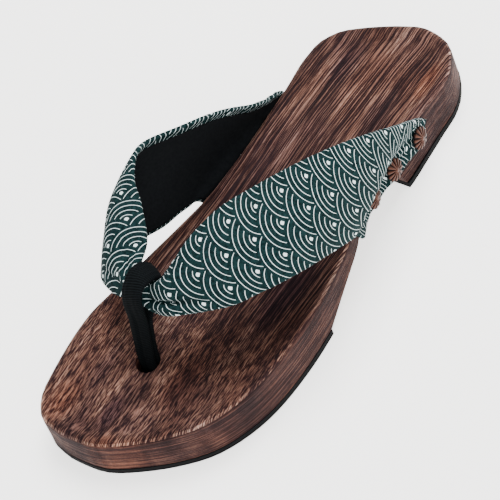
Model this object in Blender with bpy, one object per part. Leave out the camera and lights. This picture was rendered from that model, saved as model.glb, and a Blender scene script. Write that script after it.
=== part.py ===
"""A left geta: a carved wooden base on two rubber sheets, a nailed cloth strap and a toe post.

The toe points to -Y, the outer side of the foot is +X and the floor is Z = 0.
The shapes are worked out around the middle of the foot and then hang from one empty, which puts
the middle of the sandal's box at the origin. Lengths are in metres.
"""

import bmesh
import bpy
import numpy as np
from mathutils import Matrix, Vector

# Driving dimensions of the wooden base and its rubber
LENGTH = 0.2700
BALL_WIDTH = 0.1015
WAIST_WIDTH = 0.0760
HEEL_WIDTH = 0.0785
BOARD_HEIGHT = 0.0250
RUBBER_THICKNESS = 0.0034
EDGE_RADIUS = 0.0026
EDGE_ANGLES = (30.0, 60.0, 90.0)
RIM_WIDTH = 0.0075
RIM_STEPS = (0.35, 0.7, 1.0)
DISH_DEPTH = 0.0014

# Driving dimensions of the arch sawn between the two blocks
ARCH_HEIGHT = 0.0148
ARCH_START = -0.0268
ARCH_END = 0.0592

# Driving dimensions of the strap, its neck and the toe post
STRAP_HEIGHT = 0.0780
STRAP_THICKNESS = 0.0024
STRAP_EDGE_ROUNDING = 0.4
STRAP_FOLD_BELOW = 0.0114
STRAP_FOLD_STEPS = (0.0, 0.45, 1.0)
STRAP_FOLD_START = 0.12
POST_WIDTH = 0.0102
POST_THICKNESS = 0.0036
POST_CORNERS = 12
POST_SIDE_POWER = 0.6
POST_FACE_POWER = 0.8
POST_BEND_FROM = 0.4
POST_HOLE_RADIUS = 0.0061
POST_HOLE_X = -0.0045
POST_HOLE_Y = -0.0857
NECK_X = -0.0050
NECK_Y = -0.0684
NECK_Z = 0.0610
NECK_REACH = 0.0062
NECK_FRONT_DROP = 0.0050
NECK_REAR_RISE = 0.0030
NECK_CROWN = 0.0042

# Driving dimensions of the nails
NAIL_HEAD_RADIUS = 0.0058
NAIL_HEAD_HEIGHT = 0.0019
NAIL_SHANK_RADIUS = 0.0011
NAIL_SHANK_LENGTH = 0.0120
NAIL_DROP = 0.0069
NAIL_PETALS = 8
NAIL_FLUTE = 0.07

# Dome of a nail's head. Columns: share of NAIL_HEAD_RADIUS, share of NAIL_HEAD_HEIGHT
NAIL_DOME = [(1.0, 0.0), (0.94, 0.45), (0.62, 0.88), (0.30, 1.0)]

# Clearances between pieces
GAP = 0.0003
STRAP_SEAT = STRAP_THICKNESS + 1.5 * GAP
HOLE_CLEARANCE = 0.0002

# Facets
FINE_STEPS = 30
OUTLINE_SPANS = 62
STRAP_SPANS_ALONG = 76
STRAP_SPANS_ACROSS = 12
POST_SPANS = 40
ROUND_SEGMENTS = 14

# Floor outline from the toe tip to the heel tip along the outer side of the foot.
# Columns: share of LENGTH, share of the width, that width, draft as a share of BOARD_HEIGHT
OUTER_SIDE = [
    (-0.5007, -0.167, BALL_WIDTH, 0.055),
    (-0.4945, -0.020, BALL_WIDTH, 0.055),
    (-0.4687, 0.118, BALL_WIDTH, 0.055),
    (-0.4296, 0.266, BALL_WIDTH, 0.055),
    (-0.3847, 0.387, BALL_WIDTH, 0.055),
    (-0.3272, 0.470, BALL_WIDTH, 0.055),
    (-0.2623, 0.517, BALL_WIDTH, 0.055),
    (-0.1805, 0.534, BALL_WIDTH, 0.055),
    (-0.0995, 0.526, BALL_WIDTH, 0.055),
    (-0.0184, 0.664, WAIST_WIDTH, 0.060),
    (0.0442, 0.616, WAIST_WIDTH, 0.075),
    (0.1105, 0.536, WAIST_WIDTH, 0.180),
    (0.1658, 0.537, WAIST_WIDTH, 0.220),
    (0.2211, 0.562, WAIST_WIDTH, 0.245),
    (0.2874, 0.535, HEEL_WIDTH, 0.150),
    (0.3500, 0.524, HEEL_WIDTH, 0.110),
    (0.3943, 0.517, HEEL_WIDTH, 0.070),
    (0.4403, 0.465, HEEL_WIDTH, 0.055),
    (0.4860, 0.344, HEEL_WIDTH, 0.055),
    (0.5040, 0.140, HEEL_WIDTH, 0.055),
]

# The same columns along the inner side of the foot, between the two tips
INNER_SIDE = [
    (-0.4989, -0.246, BALL_WIDTH, 0.055),
    (-0.4878, -0.347, BALL_WIDTH, 0.055),
    (-0.4540, -0.417, BALL_WIDTH, 0.055),
    (-0.4127, -0.443, BALL_WIDTH, 0.055),
    (-0.3427, -0.465, BALL_WIDTH, 0.055),
    (-0.2800, -0.466, BALL_WIDTH, 0.055),
    (-0.2284, -0.441, BALL_WIDTH, 0.055),
    (-0.1474, -0.404, BALL_WIDTH, 0.055),
    (-0.0516, -0.482, WAIST_WIDTH, 0.055),
    (0.0184, -0.446, WAIST_WIDTH, 0.055),
    (0.0921, -0.437, WAIST_WIDTH, 0.055),
    (0.1584, -0.438, WAIST_WIDTH, 0.055),
    (0.2616, -0.455, WAIST_WIDTH, 0.055),
    (0.3316, -0.469, HEEL_WIDTH, 0.055),
    (0.3648, -0.471, HEEL_WIDTH, 0.055),
    (0.3991, -0.459, HEEL_WIDTH, 0.055),
    (0.4370, -0.382, HEEL_WIDTH, 0.055),
    (0.4598, -0.268, HEEL_WIDTH, 0.055),
    (0.4772, -0.153, HEEL_WIDTH, 0.055),
    (0.4940, -0.013, HEEL_WIDTH, 0.055),
]

# Height of the top edge along the base. Columns: share of LENGTH, share of BOARD_HEIGHT
TOP_EDGE = [(-0.50, 0.896), (-0.26, 0.996), (0.0, 0.960), (0.26, 1.010), (0.50, 0.915)]

# Underside of the arch. Columns: share of the way from its start to its end, share of ARCH_HEIGHT
ARCH_CURVE = [
    (0.00, 0.23),
    (0.02, 0.29),
    (0.07, 0.41),
    (0.16, 0.60),
    (0.30, 0.82),
    (0.44, 0.95),
    (0.60, 1.00),
    (0.80, 0.98),
    (0.93, 0.94),
    (0.97, 0.82),
    (1.00, 0.23),
]

# Free part of the strap from the neck to the outer side of the base, on its outer face.
# The front edge comes first, then the rear edge, then the bulge between them.
# Columns: shares of half BALL_WIDTH, of LENGTH and of STRAP_HEIGHT for each edge,
# the bulge as a share of STRAP_HEIGHT, and where across the strap it is highest
OUTER_STRAP = [
    (0.030, -0.2715, 0.712, 0.040, -0.2215, 0.840, 0.045, 0.50),
    (0.260, -0.2722, 0.712, 0.110, -0.1815, 0.885, 0.050, 0.50),
    (0.715, -0.2333, 0.763, 0.227, -0.1074, 0.949, 0.050, 0.50),
    (0.890, -0.1852, 0.744, 0.374, -0.0456, 0.942, 0.050, 0.50),
    (1.055, -0.1185, 0.692, 0.611, 0.0370, 0.923, 0.050, 0.50),
    (1.065, -0.0204, 0.526, 0.778, 0.1281, 0.808, 0.045, 0.50),
    (1.000, 0.0315, 0.372, 0.857, 0.2315, 0.571, 0.030, 0.50),
]

# The same columns from the neck to the inner side of the base
INNER_STRAP = [
    (-0.236, -0.2778, 0.705, -0.207, -0.2296, 0.833, 0.045, 0.50),
    (-0.453, -0.2741, 0.679, -0.286, -0.1889, 0.853, 0.065, 0.50),
    (-0.709, -0.2481, 0.628, -0.483, -0.1444, 0.942, 0.085, 0.55),
    (-0.837, -0.1926, 0.551, -0.650, -0.1093, 0.994, 0.085, 0.62),
    (-0.828, -0.1333, 0.449, -0.798, -0.0444, 0.994, 0.060, 0.62),
    (-0.788, -0.0852, 0.378, -0.729, 0.0296, 0.875, 0.050, 0.55),
    (-0.760, -0.0444, 0.346, -0.670, 0.1111, 0.715, 0.045, 0.50),
    (-0.741, -0.0185, 0.314, -0.660, 0.1926, 0.472, 0.030, 0.50),
]

# Where the strap crosses the edge of the base and where it ends on the wall.
# Columns: shares of LENGTH of the front and the rear corner
OUTER_EDGE_CROSSING = (0.0519, 0.3111)
OUTER_WALL_END = (0.0704, 0.3000)
INNER_EDGE_CROSSING = (0.0010, 0.2620)
INNER_WALL_END = (0.0170, 0.2540)

# Nails on each side, as shares of LENGTH
OUTER_NAILS = (0.1352, 0.2019, 0.2796)
INNER_NAILS = (0.0850, 0.1520, 0.2270)

# Path of the toe post in its own plane, front leg first.
# Columns: offset forward and offset up from the neck, as shares of the neck's height over the
# floor, and the band's width as a share of POST_WIDTH
POST_PATH = [
    (-0.315, -0.860, 0.88),
    (-0.298, -0.620, 0.94),
    (-0.244, -0.400, 1.00),
    (-0.190, -0.200, 1.05),
    (-0.165, -0.040, 1.12),
    (-0.122, 0.095, 1.14),
    (0.000, 0.148, 1.12),
    (0.122, 0.115, 1.05),
    (0.162, 0.010, 0.98),
    (0.084, -0.105, 0.92),
    (-0.105, -0.222, 0.86),
    (-0.184, -0.400, 0.84),
    (-0.236, -0.620, 0.84),
    (-0.250, -0.860, 0.84),
]


def clear_scene():
    """Remove every object that the file holds."""
    for item in list(bpy.data.objects):
        bpy.data.objects.remove(item, do_unlink=True)


def material(name, colour, roughness, metallic=0.0):
    """Return a Principled material."""
    made = bpy.data.materials.new(name)
    made.use_nodes = True
    shader = made.node_tree.nodes["Principled BSDF"]
    shader.inputs["Base Color"].default_value = (*colour, 1.0)
    shader.inputs["Roughness"].default_value = roughness
    shader.inputs["Metallic"].default_value = metallic
    return made


def add_object(name, points, faces, finish):
    """Make a closed mesh object of flat triangles and turn its faces outwards."""
    mesh = bpy.data.meshes.new(name)
    mesh.from_pydata([tuple(p) for p in points], [], [tuple(f) for f in faces])
    work = bmesh.new()
    work.from_mesh(mesh)
    bmesh.ops.recalc_face_normals(work, faces=work.faces)
    bmesh.ops.triangulate(work, faces=work.faces)
    work.to_mesh(mesh)
    work.free()
    mesh.materials.append(finish)
    item = bpy.data.objects.new(name, mesh)
    bpy.context.scene.collection.objects.link(item)
    return item


def shade(item, angle_degrees=35.0):
    """Shade round faces smooth and leave sharp edges sharp."""
    item.data.shade_smooth()
    item.data.set_sharp_from_angle(angle=np.radians(angle_degrees))


def cut(item, cutter, operation="DIFFERENCE"):
    """Cut an object with a hidden cutter."""
    cutter.hide_render = True
    cutter.display_type = "WIRE"
    modifier = item.modifiers.new("cut with " + cutter.name, "BOOLEAN")
    modifier.operation = operation
    modifier.solver = "EXACT"
    modifier.object = cutter


def curve_through(points, samples):
    """Sample a Catmull-Rom curve through rows of points; samples are in rows from 0 to the last."""
    rows = np.asarray(points, dtype=float)
    before = 2.0 * rows[:1] - rows[1:2]
    after = 2.0 * rows[-1:] - rows[-2:-1]
    padded = np.concatenate([before, rows, after])
    place = np.clip(np.asarray(samples, dtype=float), 0.0, len(rows) - 1.0)
    span = np.minimum(place.astype(int), len(rows) - 2)
    t = (place - span).reshape((-1,) + (1,) * (rows.ndim - 1))
    a, b, c, d = (padded[span + k] for k in range(4))
    return 0.5 * (2.0 * b + (c - a) * t + (2.0 * a - 5.0 * b + 4.0 * c - d) * t ** 2
                  + (3.0 * b - a - 3.0 * c + d) * t ** 3)


def even_curve(points, count):
    """Sample a curve through points at even lengths along its first three columns."""
    fine = curve_through(points, np.linspace(0.0, len(points) - 1.0, FINE_STEPS * len(points)))
    steps = np.linalg.norm(np.diff(fine[:, :3], axis=0), axis=1)
    run = np.concatenate([[0.0], np.cumsum(steps)])
    wanted = np.linspace(0.0, run[-1], count)
    return np.stack([np.interp(wanted, run, fine[:, k]) for k in range(fine.shape[1])], axis=1)


def side_points(table):
    """Turn an outline table into rows of X, Y, 0 and draft."""
    return [(width * x, LENGTH * y, 0.0, BOARD_HEIGHT * draft) for y, x, width, draft in table]


def outline():
    """Return the closed floor outline and its draft.

    The first half runs from the toe tip to the heel tip along the outer side, and the second half
    runs back along the inner side, so point i faces point -i across the base.
    """
    outer = side_points(OUTER_SIDE)
    inner = [outer[0]] + side_points(INNER_SIDE) + [outer[-1]]
    closed = outer + inner[-2:0:-1]
    wrapped = np.array(closed[-3:] + closed + closed[:4])
    tips = (3.0, 3.0 + len(outer) - 1.0, 3.0 + len(closed))
    halves = []
    for start, end in zip(tips[:-1], tips[1:]):
        fine = curve_through(wrapped, np.linspace(start, end, FINE_STEPS * len(outer)))
        steps = np.linalg.norm(np.diff(fine[:, :2], axis=0), axis=1)
        run = np.concatenate([[0.0], np.cumsum(steps)])
        wanted = np.linspace(0.0, run[-1], OUTLINE_SPANS + 1)[:-1]
        halves.append(np.stack([np.interp(wanted, run, fine[:, k]) for k in (0, 1, 3)], axis=1))
    ring = np.concatenate(halves)
    return ring[:, :2], ring[:, 2]


def inward_normals(ring):
    """Return the unit directions that point from a closed ring to its inside."""
    along = np.roll(ring, -1, axis=0) - np.roll(ring, 1, axis=0)
    across = np.stack([-along[:, 1], along[:, 0]], axis=1)
    return across / np.linalg.norm(across, axis=1, keepdims=True)


def top_edge_height(y):
    """Return the height of the base's top edge at a place along its length."""
    table = np.array(TOP_EDGE)
    fine = curve_through(table, np.linspace(0.0, len(table) - 1.0, FINE_STEPS * len(table)))
    return BOARD_HEIGHT * np.interp(y / LENGTH, fine[:, 0], fine[:, 1])


def ladder(first, count, flip):
    """Fill a closed ring of points with rungs between its two long sides."""
    half = count // 2
    faces = []
    for i in range(half):
        left = (count - i) % count
        lower = count - i - 1
        corners = [first + i, first + i + 1, first + lower, first + left]
        kept = list(dict.fromkeys(corners))
        faces.append(kept[::-1] if flip else kept)
    return faces


def ring_walls(rings, count):
    """Join rings of points, one above the other, with four-sided faces."""
    faces = []
    for r in range(rings - 1):
        for i in range(count):
            j = (i + 1) % count
            faces.append((r * count + i, r * count + j, (r + 1) * count + j, (r + 1) * count + i))
    return faces


def wall_ring(z):
    """Return the base's wall at a height, leaning in from the floor by its draft."""
    ring, draft = outline()
    lean = draft * np.asarray(z / BOARD_HEIGHT).reshape(-1)
    return ring + inward_normals(ring) * lean[:, None]


def wall_x(y, z, side):
    """Return the wall's X at places and heights; side is 1 on the outer side and -1 on the inner."""
    ring, draft = outline()
    lean = inward_normals(ring)[:, 0] * draft / BOARD_HEIGHT
    half = np.arange(OUTLINE_SPANS + 1) * int(side) % len(ring)
    half = half[np.argsort(ring[half, 1])]
    floor_x = np.interp(y, ring[half, 1], ring[half, 0])
    return floor_x + np.interp(y, ring[half, 1], lean[half]) * z


def base_rings():
    """Return the rings of the base from its underside, up the wall and in over the rim."""
    ring, _ = outline()
    bottom = RUBBER_THICKNESS + GAP
    edge = top_edge_height(ring[:, 1])
    rings = []
    for z in (np.full(len(ring), bottom), edge - EDGE_RADIUS):
        rings.append(np.column_stack([wall_ring(z), z]))
    shoulder = wall_ring(edge - EDGE_RADIUS)
    inward = inward_normals(ring)
    for angle in np.radians(EDGE_ANGLES):
        inset = EDGE_RADIUS * (1.0 - np.cos(angle))
        z = edge - EDGE_RADIUS * (1.0 - np.sin(angle))
        rings.append(np.column_stack([shoulder + inward * inset, z]))
    for share in RIM_STEPS:
        inset = EDGE_RADIUS + RIM_WIDTH * share
        fall = 0.5 * DISH_DEPTH * (1.0 - np.cos(np.pi * share))
        rings.append(np.column_stack([shoulder + inward * inset, edge - fall]))
    return rings


def arch_cutter(finish):
    """Return the block that is sawn out between the front block and the heel block."""
    steps = np.linspace(0.0, len(ARCH_CURVE) - 1.0, 3 * len(ARCH_CURVE))
    curve = curve_through(ARCH_CURVE, steps)
    ys = ARCH_START + (ARCH_END - ARCH_START) * curve[:, 0]
    zs = ARCH_HEIGHT * curve[:, 1]
    profile = [(ARCH_START, -BOARD_HEIGHT)] + list(zip(ys, zs)) + [(ARCH_END, -BOARD_HEIGHT)]
    half = BALL_WIDTH
    count = len(profile)
    points = [(x, y, z) for x in (-half, half) for y, z in profile]
    faces = [tuple(range(count)), tuple(range(2 * count - 1, count - 1, -1))]
    for i in range(count):
        j = (i + 1) % count
        faces.append((i, j, count + j, count + i))
    return add_object("arch_cutter", points, faces, finish)


def hole_cutter(name, centre, direction, radius, depth, finish):
    """Return a round cutter that starts at its centre and runs along a direction."""
    mesh = bpy.data.meshes.new(name)
    work = bmesh.new()
    bmesh.ops.create_cone(work, cap_ends=True, segments=ROUND_SEGMENTS, radius1=radius, radius2=radius,
                          depth=depth)
    work.to_mesh(mesh)
    work.free()
    mesh.materials.append(finish)
    item = bpy.data.objects.new(name, mesh)
    bpy.context.scene.collection.objects.link(item)
    turn = Vector((0.0, 0.0, 1.0)).rotation_difference(Vector(direction))
    middle = Vector(centre) + Vector(direction).normalized() * (0.5 * depth)
    item.matrix_world = Matrix.Translation(middle) @ turn.to_matrix().to_4x4()
    return item


def make_base(finish):
    """Make the one-piece wooden base: footbed, front block, arch and heel block."""
    rings = base_rings()
    count = len(rings[0])
    points = np.concatenate(rings)
    faces = ring_walls(len(rings), count)
    faces += ladder(0, count, True) + ladder((len(rings) - 1) * count, count, False)
    base = add_object("wooden_base", points, faces, finish)
    cut(base, arch_cutter(finish))
    start = (POST_HOLE_X, POST_HOLE_Y, -BOARD_HEIGHT)
    cut(base, hole_cutter("post_hole_cutter", start, (0.0, 0.0, 1.0), POST_HOLE_RADIUS,
                          3.0 * BOARD_HEIGHT, finish))
    return base


def make_rubber(name, finish, from_y, to_y):
    """Make one rubber sheet under the base, between two places along its length."""
    ring, _ = outline()
    count = len(ring)
    levels = [np.column_stack([ring, np.full(count, z)]) for z in (0.0, RUBBER_THICKNESS)]
    faces = ring_walls(2, count) + ladder(0, count, True) + ladder(count, count, False)
    sheet = add_object(name, np.concatenate(levels), faces, finish)
    size = (2.0 * LENGTH, to_y - from_y, 2.0 * BOARD_HEIGHT)
    mesh = bpy.data.meshes.new(name + "_cutter")
    work = bmesh.new()
    bmesh.ops.create_cube(work, size=1.0)
    bmesh.ops.scale(work, vec=size, verts=work.verts)
    bmesh.ops.translate(work, vec=(0.0, 0.5 * (from_y + to_y), 0.0), verts=work.verts)
    work.to_mesh(mesh)
    work.free()
    cutter = bpy.data.objects.new(name + "_cutter", mesh)
    bpy.context.scene.collection.objects.link(cutter)
    cut(sheet, cutter, "INTERSECT")
    return sheet


def crown(across, peak):
    """Return a hump of height 1 across the strap, with its top nearer the rear edge as peak grows."""
    turned = across ** (np.log(0.5) / np.log(peak))
    return 4.0 * turned * (1.0 - turned)


def edge_rows(table, across):
    """Return the free rows of one half of the strap, as grids of points across its width."""
    unit = np.array([0.5 * BALL_WIDTH, LENGTH, STRAP_HEIGHT])
    rows = np.array(table)
    front = rows[:, 0:3] * unit
    rear = rows[:, 3:6] * unit
    along = np.gradient(0.5 * (front + rear), axis=0)
    out = np.cross(along, rear - front)
    out *= np.sign(rows[:, :1] - NECK_X / unit[0])
    out /= np.linalg.norm(out, axis=1, keepdims=True)
    bulge = rows[:, 6:7] * STRAP_HEIGHT * crown(across, rows[:, 7:8])
    return list(front[:, None] + (rear - front)[:, None] * across[None, :, None]
                + out[:, None] * bulge[:, :, None])


def wall_rows(side, crossing, ending, across):
    """Return the rows where the strap bends over the edge and lies on the wall."""
    rows = []
    for share in STRAP_FOLD_STEPS:
        front, rear = (c + (e - c) * share for c, e in zip(crossing, ending))
        y = LENGTH * (front + (rear - front) * across)
        z = top_edge_height(y) - STRAP_FOLD_BELOW * (STRAP_FOLD_START + (1.0 - STRAP_FOLD_START) * share)
        rows.append(np.stack([wall_x(y, z, side) + side * STRAP_SEAT, y, z], axis=1))
    return rows


def press_to_wall(grid, side):
    """Keep the strap's outer face its own thickness away from the wall of the base."""
    x, y, z = (grid[..., k] for k in range(3))
    seat = side * (wall_x(y, z, side) + side * STRAP_SEAT)
    beside = (z < top_edge_height(y) + STRAP_THICKNESS) & (side * x > 0.0)
    pressed = grid.copy()
    pressed[..., 0] = np.where(beside, side * np.maximum(side * x, seat), x)
    return pressed


def neck_row(across):
    """Return the rolled row under the toe post's loop."""
    front = np.array([NECK_X, NECK_Y - NECK_REACH, NECK_Z - NECK_FRONT_DROP])
    rear = np.array([NECK_X, NECK_Y + NECK_REACH, NECK_Z + NECK_REAR_RISE])
    out = np.cross([1.0, 0.0, 0.0], rear - front)
    out /= np.linalg.norm(out)
    hump = NECK_CROWN * (1.0 - (2.0 * across - 1.0) ** 2)
    return front + (rear - front) * across[:, None] + out * hump[:, None]


def strap_surface():
    """Return the strap's outer face as a grid: from the inner wall, over the neck, to the outer wall."""
    across = np.linspace(0.0, 1.0, STRAP_SPANS_ACROSS + 1)
    inner = edge_rows(INNER_STRAP, across) + wall_rows(-1.0, INNER_EDGE_CROSSING,
                                                           INNER_WALL_END, across)
    outer = edge_rows(OUTER_STRAP, across) + wall_rows(1.0, OUTER_EDGE_CROSSING,
                                                          OUTER_WALL_END, across)
    rows = np.array(inner[::-1] + [neck_row(across)] + outer)
    middle = rows[:, STRAP_SPANS_ACROSS // 2]
    run = np.concatenate([[0.0], np.cumsum(np.linalg.norm(np.diff(middle, axis=0), axis=1))])
    wanted = np.interp(np.linspace(0.0, run[-1], STRAP_SPANS_ALONG + 1), run, np.arange(len(rows)))
    return press_to_wall(press_to_wall(curve_through(rows, wanted), 1.0), -1.0)


def surface_normals(grid):
    """Return unit normals of a grid of points, outwards on the strap's outer face."""
    along = np.gradient(grid, axis=0)
    across = np.gradient(grid, axis=1)
    normal = np.cross(along, across)
    return normal / np.linalg.norm(normal, axis=2, keepdims=True)


def band_solid(outer, thickness):
    """Return points and faces of a band with rounded edges under a grid of its outer face."""
    normal = surface_normals(outer)
    inner = outer - normal * thickness
    side = np.gradient(outer, axis=1)
    side /= np.linalg.norm(side, axis=2, keepdims=True)
    middle = outer - normal * (0.5 * thickness)
    front = middle[:, 0] - side[:, 0] * (STRAP_EDGE_ROUNDING * thickness)
    rear = middle[:, -1] + side[:, -1] * (STRAP_EDGE_ROUNDING * thickness)
    loops = np.concatenate([outer, rear[:, None], inner[:, ::-1], front[:, None]], axis=1)
    rows, count = loops.shape[:2]
    half = outer.shape[1]
    faces = ring_walls(rows, count)
    for start in (0, (rows - 1) * count):
        cap = list(range(start, start + count))
        for i in range(half - 1):
            faces.append((cap[i], cap[i + 1], cap[2 * half - i - 1], cap[2 * half - i]))
        faces.append((cap[half - 1], cap[half], cap[half + 1]))
        faces.append((cap[0], cap[2 * half], cap[2 * half + 1]))
    return loops.reshape(-1, 3), faces


def nail_places(strap_face):
    """Return the name, centre and outward direction of each nail, seated on the strap's outer face."""
    places = []
    cloth = strap_face.reshape(-1, 3)
    for side, word, shares in ((1.0, "outer", OUTER_NAILS), (-1.0, "inner", INNER_NAILS)):
        for number, share in enumerate(shares, start=1):
            reach = NAIL_HEAD_RADIUS
            y = LENGTH * share + np.array([0.0, -reach, reach, 0.0, 0.0])
            z = float(top_edge_height(y[0])) - NAIL_DROP + np.array([0.0, 0.0, 0.0, -reach, reach])
            wall = np.stack([wall_x(y, z, side), y, z], axis=1)
            outward = np.cross(wall[2] - wall[1], wall[4] - wall[3])
            outward *= side * np.sign(outward[0]) / np.linalg.norm(outward)
            away = cloth - wall[0]
            height = away @ outward
            radial = np.linalg.norm(away - height[:, None] * outward, axis=1)
            under = (radial < reach + STRAP_THICKNESS) & (np.abs(height) < reach)
            centre = wall[0] + outward * (height[under].max() + GAP)
            places.append(("nail_%s_%d" % (word, number), centre, outward))
    return places


def make_strap(finish, face):
    """Make the upper: both straps and their rolled neck in one wall."""
    points, faces = band_solid(face, STRAP_THICKNESS)
    return add_object("strap_upper", points, faces, finish)


def make_nail(name, centre, direction, finish):
    """Make one nail with a fluted domed head and a plain shank."""
    segments = 2 * NAIL_PETALS
    profile = [(NAIL_SHANK_RADIUS, -NAIL_SHANK_LENGTH), (NAIL_SHANK_RADIUS, 0.0)]
    profile += [(NAIL_HEAD_RADIUS * out, NAIL_HEAD_HEIGHT * up) for out, up in NAIL_DOME]
    angles = np.linspace(0.0, 2.0 * np.pi, segments, endpoint=False)
    rings = []
    for radius, height in profile:
        fluted = radius > 0.5 * NAIL_HEAD_RADIUS
        reach = radius * (1.0 - NAIL_FLUTE * fluted * (np.arange(segments) % 2))
        level = np.full(segments, height)
        rings.append(np.column_stack([reach * np.cos(angles), reach * np.sin(angles), level]))
    points = np.concatenate(rings)
    faces = ring_walls(len(rings), segments)
    faces.append(tuple(range(segments))[::-1])
    faces.append(tuple(range((len(rings) - 1) * segments, len(rings) * segments)))
    nail = add_object(name, points, faces, finish)
    turn = Vector((0.0, 0.0, 1.0)).rotation_difference(Vector(direction))
    nail.matrix_world = Matrix.Translation(Vector(centre)) @ turn.to_matrix().to_4x4()
    return nail


def make_post(finish):
    """Make the toe post: one cloth band from the hole, over the strap's neck and back to the hole."""
    path = []
    for forward, up, width in POST_PATH:
        path.append((NECK_Y + NECK_Z * forward, NECK_Z * (1.0 + up), 0.0, width))
    samples = even_curve(path, POST_SPANS + 1)
    curve = samples[:, :2]
    half_width = 0.5 * POST_WIDTH * samples[:, 3:]
    along = np.gradient(curve, axis=0)
    along /= np.linalg.norm(along, axis=1, keepdims=True)
    normal = np.stack([-along[:, 1], along[:, 0]], axis=1)
    reach = np.clip((curve[:, 1] / NECK_Z - POST_BEND_FROM) / (1.0 - POST_BEND_FROM), 0.0, 1.0)
    centre_x = POST_HOLE_X + (NECK_X - POST_HOLE_X) * reach
    angles = np.linspace(0.0, 2.0 * np.pi, POST_CORNERS, endpoint=False)
    across = np.sign(np.cos(angles)) * np.abs(np.cos(angles)) ** POST_SIDE_POWER
    deep = np.sign(np.sin(angles)) * np.abs(np.sin(angles)) ** POST_FACE_POWER
    x = centre_x[:, None] + half_width * across
    y = curve[:, :1] + normal[:, :1] * (0.5 * POST_THICKNESS) * deep
    z = curve[:, 1:] + normal[:, 1:] * (0.5 * POST_THICKNESS) * deep
    loops = np.stack([x, y, z], axis=2)
    rows, count = loops.shape[:2]
    faces = ring_walls(rows, count)
    faces.append(tuple(range(count))[::-1])
    faces.append(tuple(range((rows - 1) * count, rows * count)))
    return add_object("toe_post", loops.reshape(-1, 3), faces, finish)


def centre_on_floor(items, strap_face):
    """Hang every piece from an empty that puts the middle of the sandal's box at the origin."""
    reach = np.concatenate([outline()[0], strap_face[..., :2].reshape(-1, 2)])
    middle = 0.5 * (reach.min(axis=0) + reach.max(axis=0))
    sandal = bpy.data.objects.new("sandal", None)
    sandal.location = (-middle[0], -middle[1], 0.0)
    bpy.context.scene.collection.objects.link(sandal)
    cutters = [item for item in bpy.data.objects if item.display_type == "WIRE"]
    for item in items + cutters:
        item.parent = sandal


def main():
    """Build the sandal."""
    clear_scene()
    wood = material("charred brushed paulownia", (0.110, 0.048, 0.026), 0.62)
    rubber = material("black rubber sheet", (0.012, 0.012, 0.012), 0.80)
    cloth = material("printed cotton strap", (0.020, 0.075, 0.060), 0.85)
    black_cloth = material("black ribbed cloth", (0.010, 0.010, 0.011), 0.90)
    copper = material("antique copper", (0.250, 0.095, 0.050), 0.40, 0.9)

    base = make_base(wood)
    strap_face = strap_surface()
    strap = make_strap(cloth, strap_face)
    items = [base, strap]
    items.append(make_rubber("front_rubber_sole", rubber, -LENGTH, ARCH_START))
    items.append(make_rubber("heel_rubber_sole", rubber, ARCH_END, LENGTH))
    items.append(make_post(black_cloth))
    for name, centre, direction in nail_places(strap_face):
        items.append(make_nail(name, centre, direction, copper))
        start = Vector(centre) + Vector(direction) * STRAP_THICKNESS
        depth = NAIL_SHANK_LENGTH + STRAP_THICKNESS + HOLE_CLEARANCE + GAP
        cutter = hole_cutter(name + "_cutter", start, -Vector(direction),
                             NAIL_SHANK_RADIUS + HOLE_CLEARANCE, depth, copper)
        cut(strap, cutter)
        cut(base, cutter)
    for item in items:
        shade(item)
    centre_on_floor(items, strap_face)


main()
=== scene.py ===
"""Looks of a left geta: printed strap, black lining, toe post, copper nails, brushed wood and rubber.

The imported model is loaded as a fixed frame. The base and the rubber keep their own solids and get
better materials. The strap, the post and the nails are made again as finer surfaces of the same form.
Lengths are in metres. The toe points to -Y, the outer side of the foot is +X, the floor is Z = 0.
"""

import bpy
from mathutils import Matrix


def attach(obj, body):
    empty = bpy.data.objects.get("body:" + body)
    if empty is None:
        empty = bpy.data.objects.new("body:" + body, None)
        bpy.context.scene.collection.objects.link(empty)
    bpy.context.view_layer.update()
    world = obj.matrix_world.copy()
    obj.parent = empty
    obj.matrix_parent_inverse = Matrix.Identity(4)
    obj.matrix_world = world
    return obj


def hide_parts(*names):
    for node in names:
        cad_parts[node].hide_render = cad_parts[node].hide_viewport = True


bl_info = {
    "name": "Geta sandal looks",
    "version": (1, 0, 0),
    "blender": (4, 5, 0),
    "location": "3D View > Sidebar > Geta",
    "description": "Makes the cloth, nails, wood and rubber of a wooden sandal around its packed model",
    "category": "Object",
}

import bmesh
import bpy
import numpy as np
from bpy.props import FloatProperty, IntProperty, PointerProperty, StringProperty
from mathutils import Matrix, Vector
from mathutils.bvhtree import BVHTree

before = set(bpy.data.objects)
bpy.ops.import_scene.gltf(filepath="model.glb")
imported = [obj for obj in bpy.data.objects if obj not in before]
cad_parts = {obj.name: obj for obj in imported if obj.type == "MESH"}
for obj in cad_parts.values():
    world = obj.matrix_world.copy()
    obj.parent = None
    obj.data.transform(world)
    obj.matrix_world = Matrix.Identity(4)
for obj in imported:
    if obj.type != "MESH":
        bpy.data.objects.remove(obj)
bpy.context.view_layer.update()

# The foot's middle line and the middle of its length, as they lie in the frame
FOOT_X = -0.0034845
FOOT_Y = -0.0004455

# Sizes that the cloth's form follows
LENGTH = 0.2700
BALL_WIDTH = 0.1015
BOARD_HEIGHT = 0.0250
STRAP_HEIGHT = 0.0780
STRAP_THICKNESS = 0.0024
STRAP_SEAT = 0.00285
STRAP_FOLD_BELOW = 0.0124
STRAP_FOLD_STEPS = (0.0, 0.45, 1.0)
STRAP_FOLD_START = 0.12
NECK = Vector((-0.0050, -0.0684, 0.0597))
NECK_REACH = 0.0062
NECK_FRONT_DROP = 0.0050
NECK_REAR_RISE = 0.0012
NECK_CROWN = 0.0080
POST_HOLE_X = -0.0045

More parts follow.
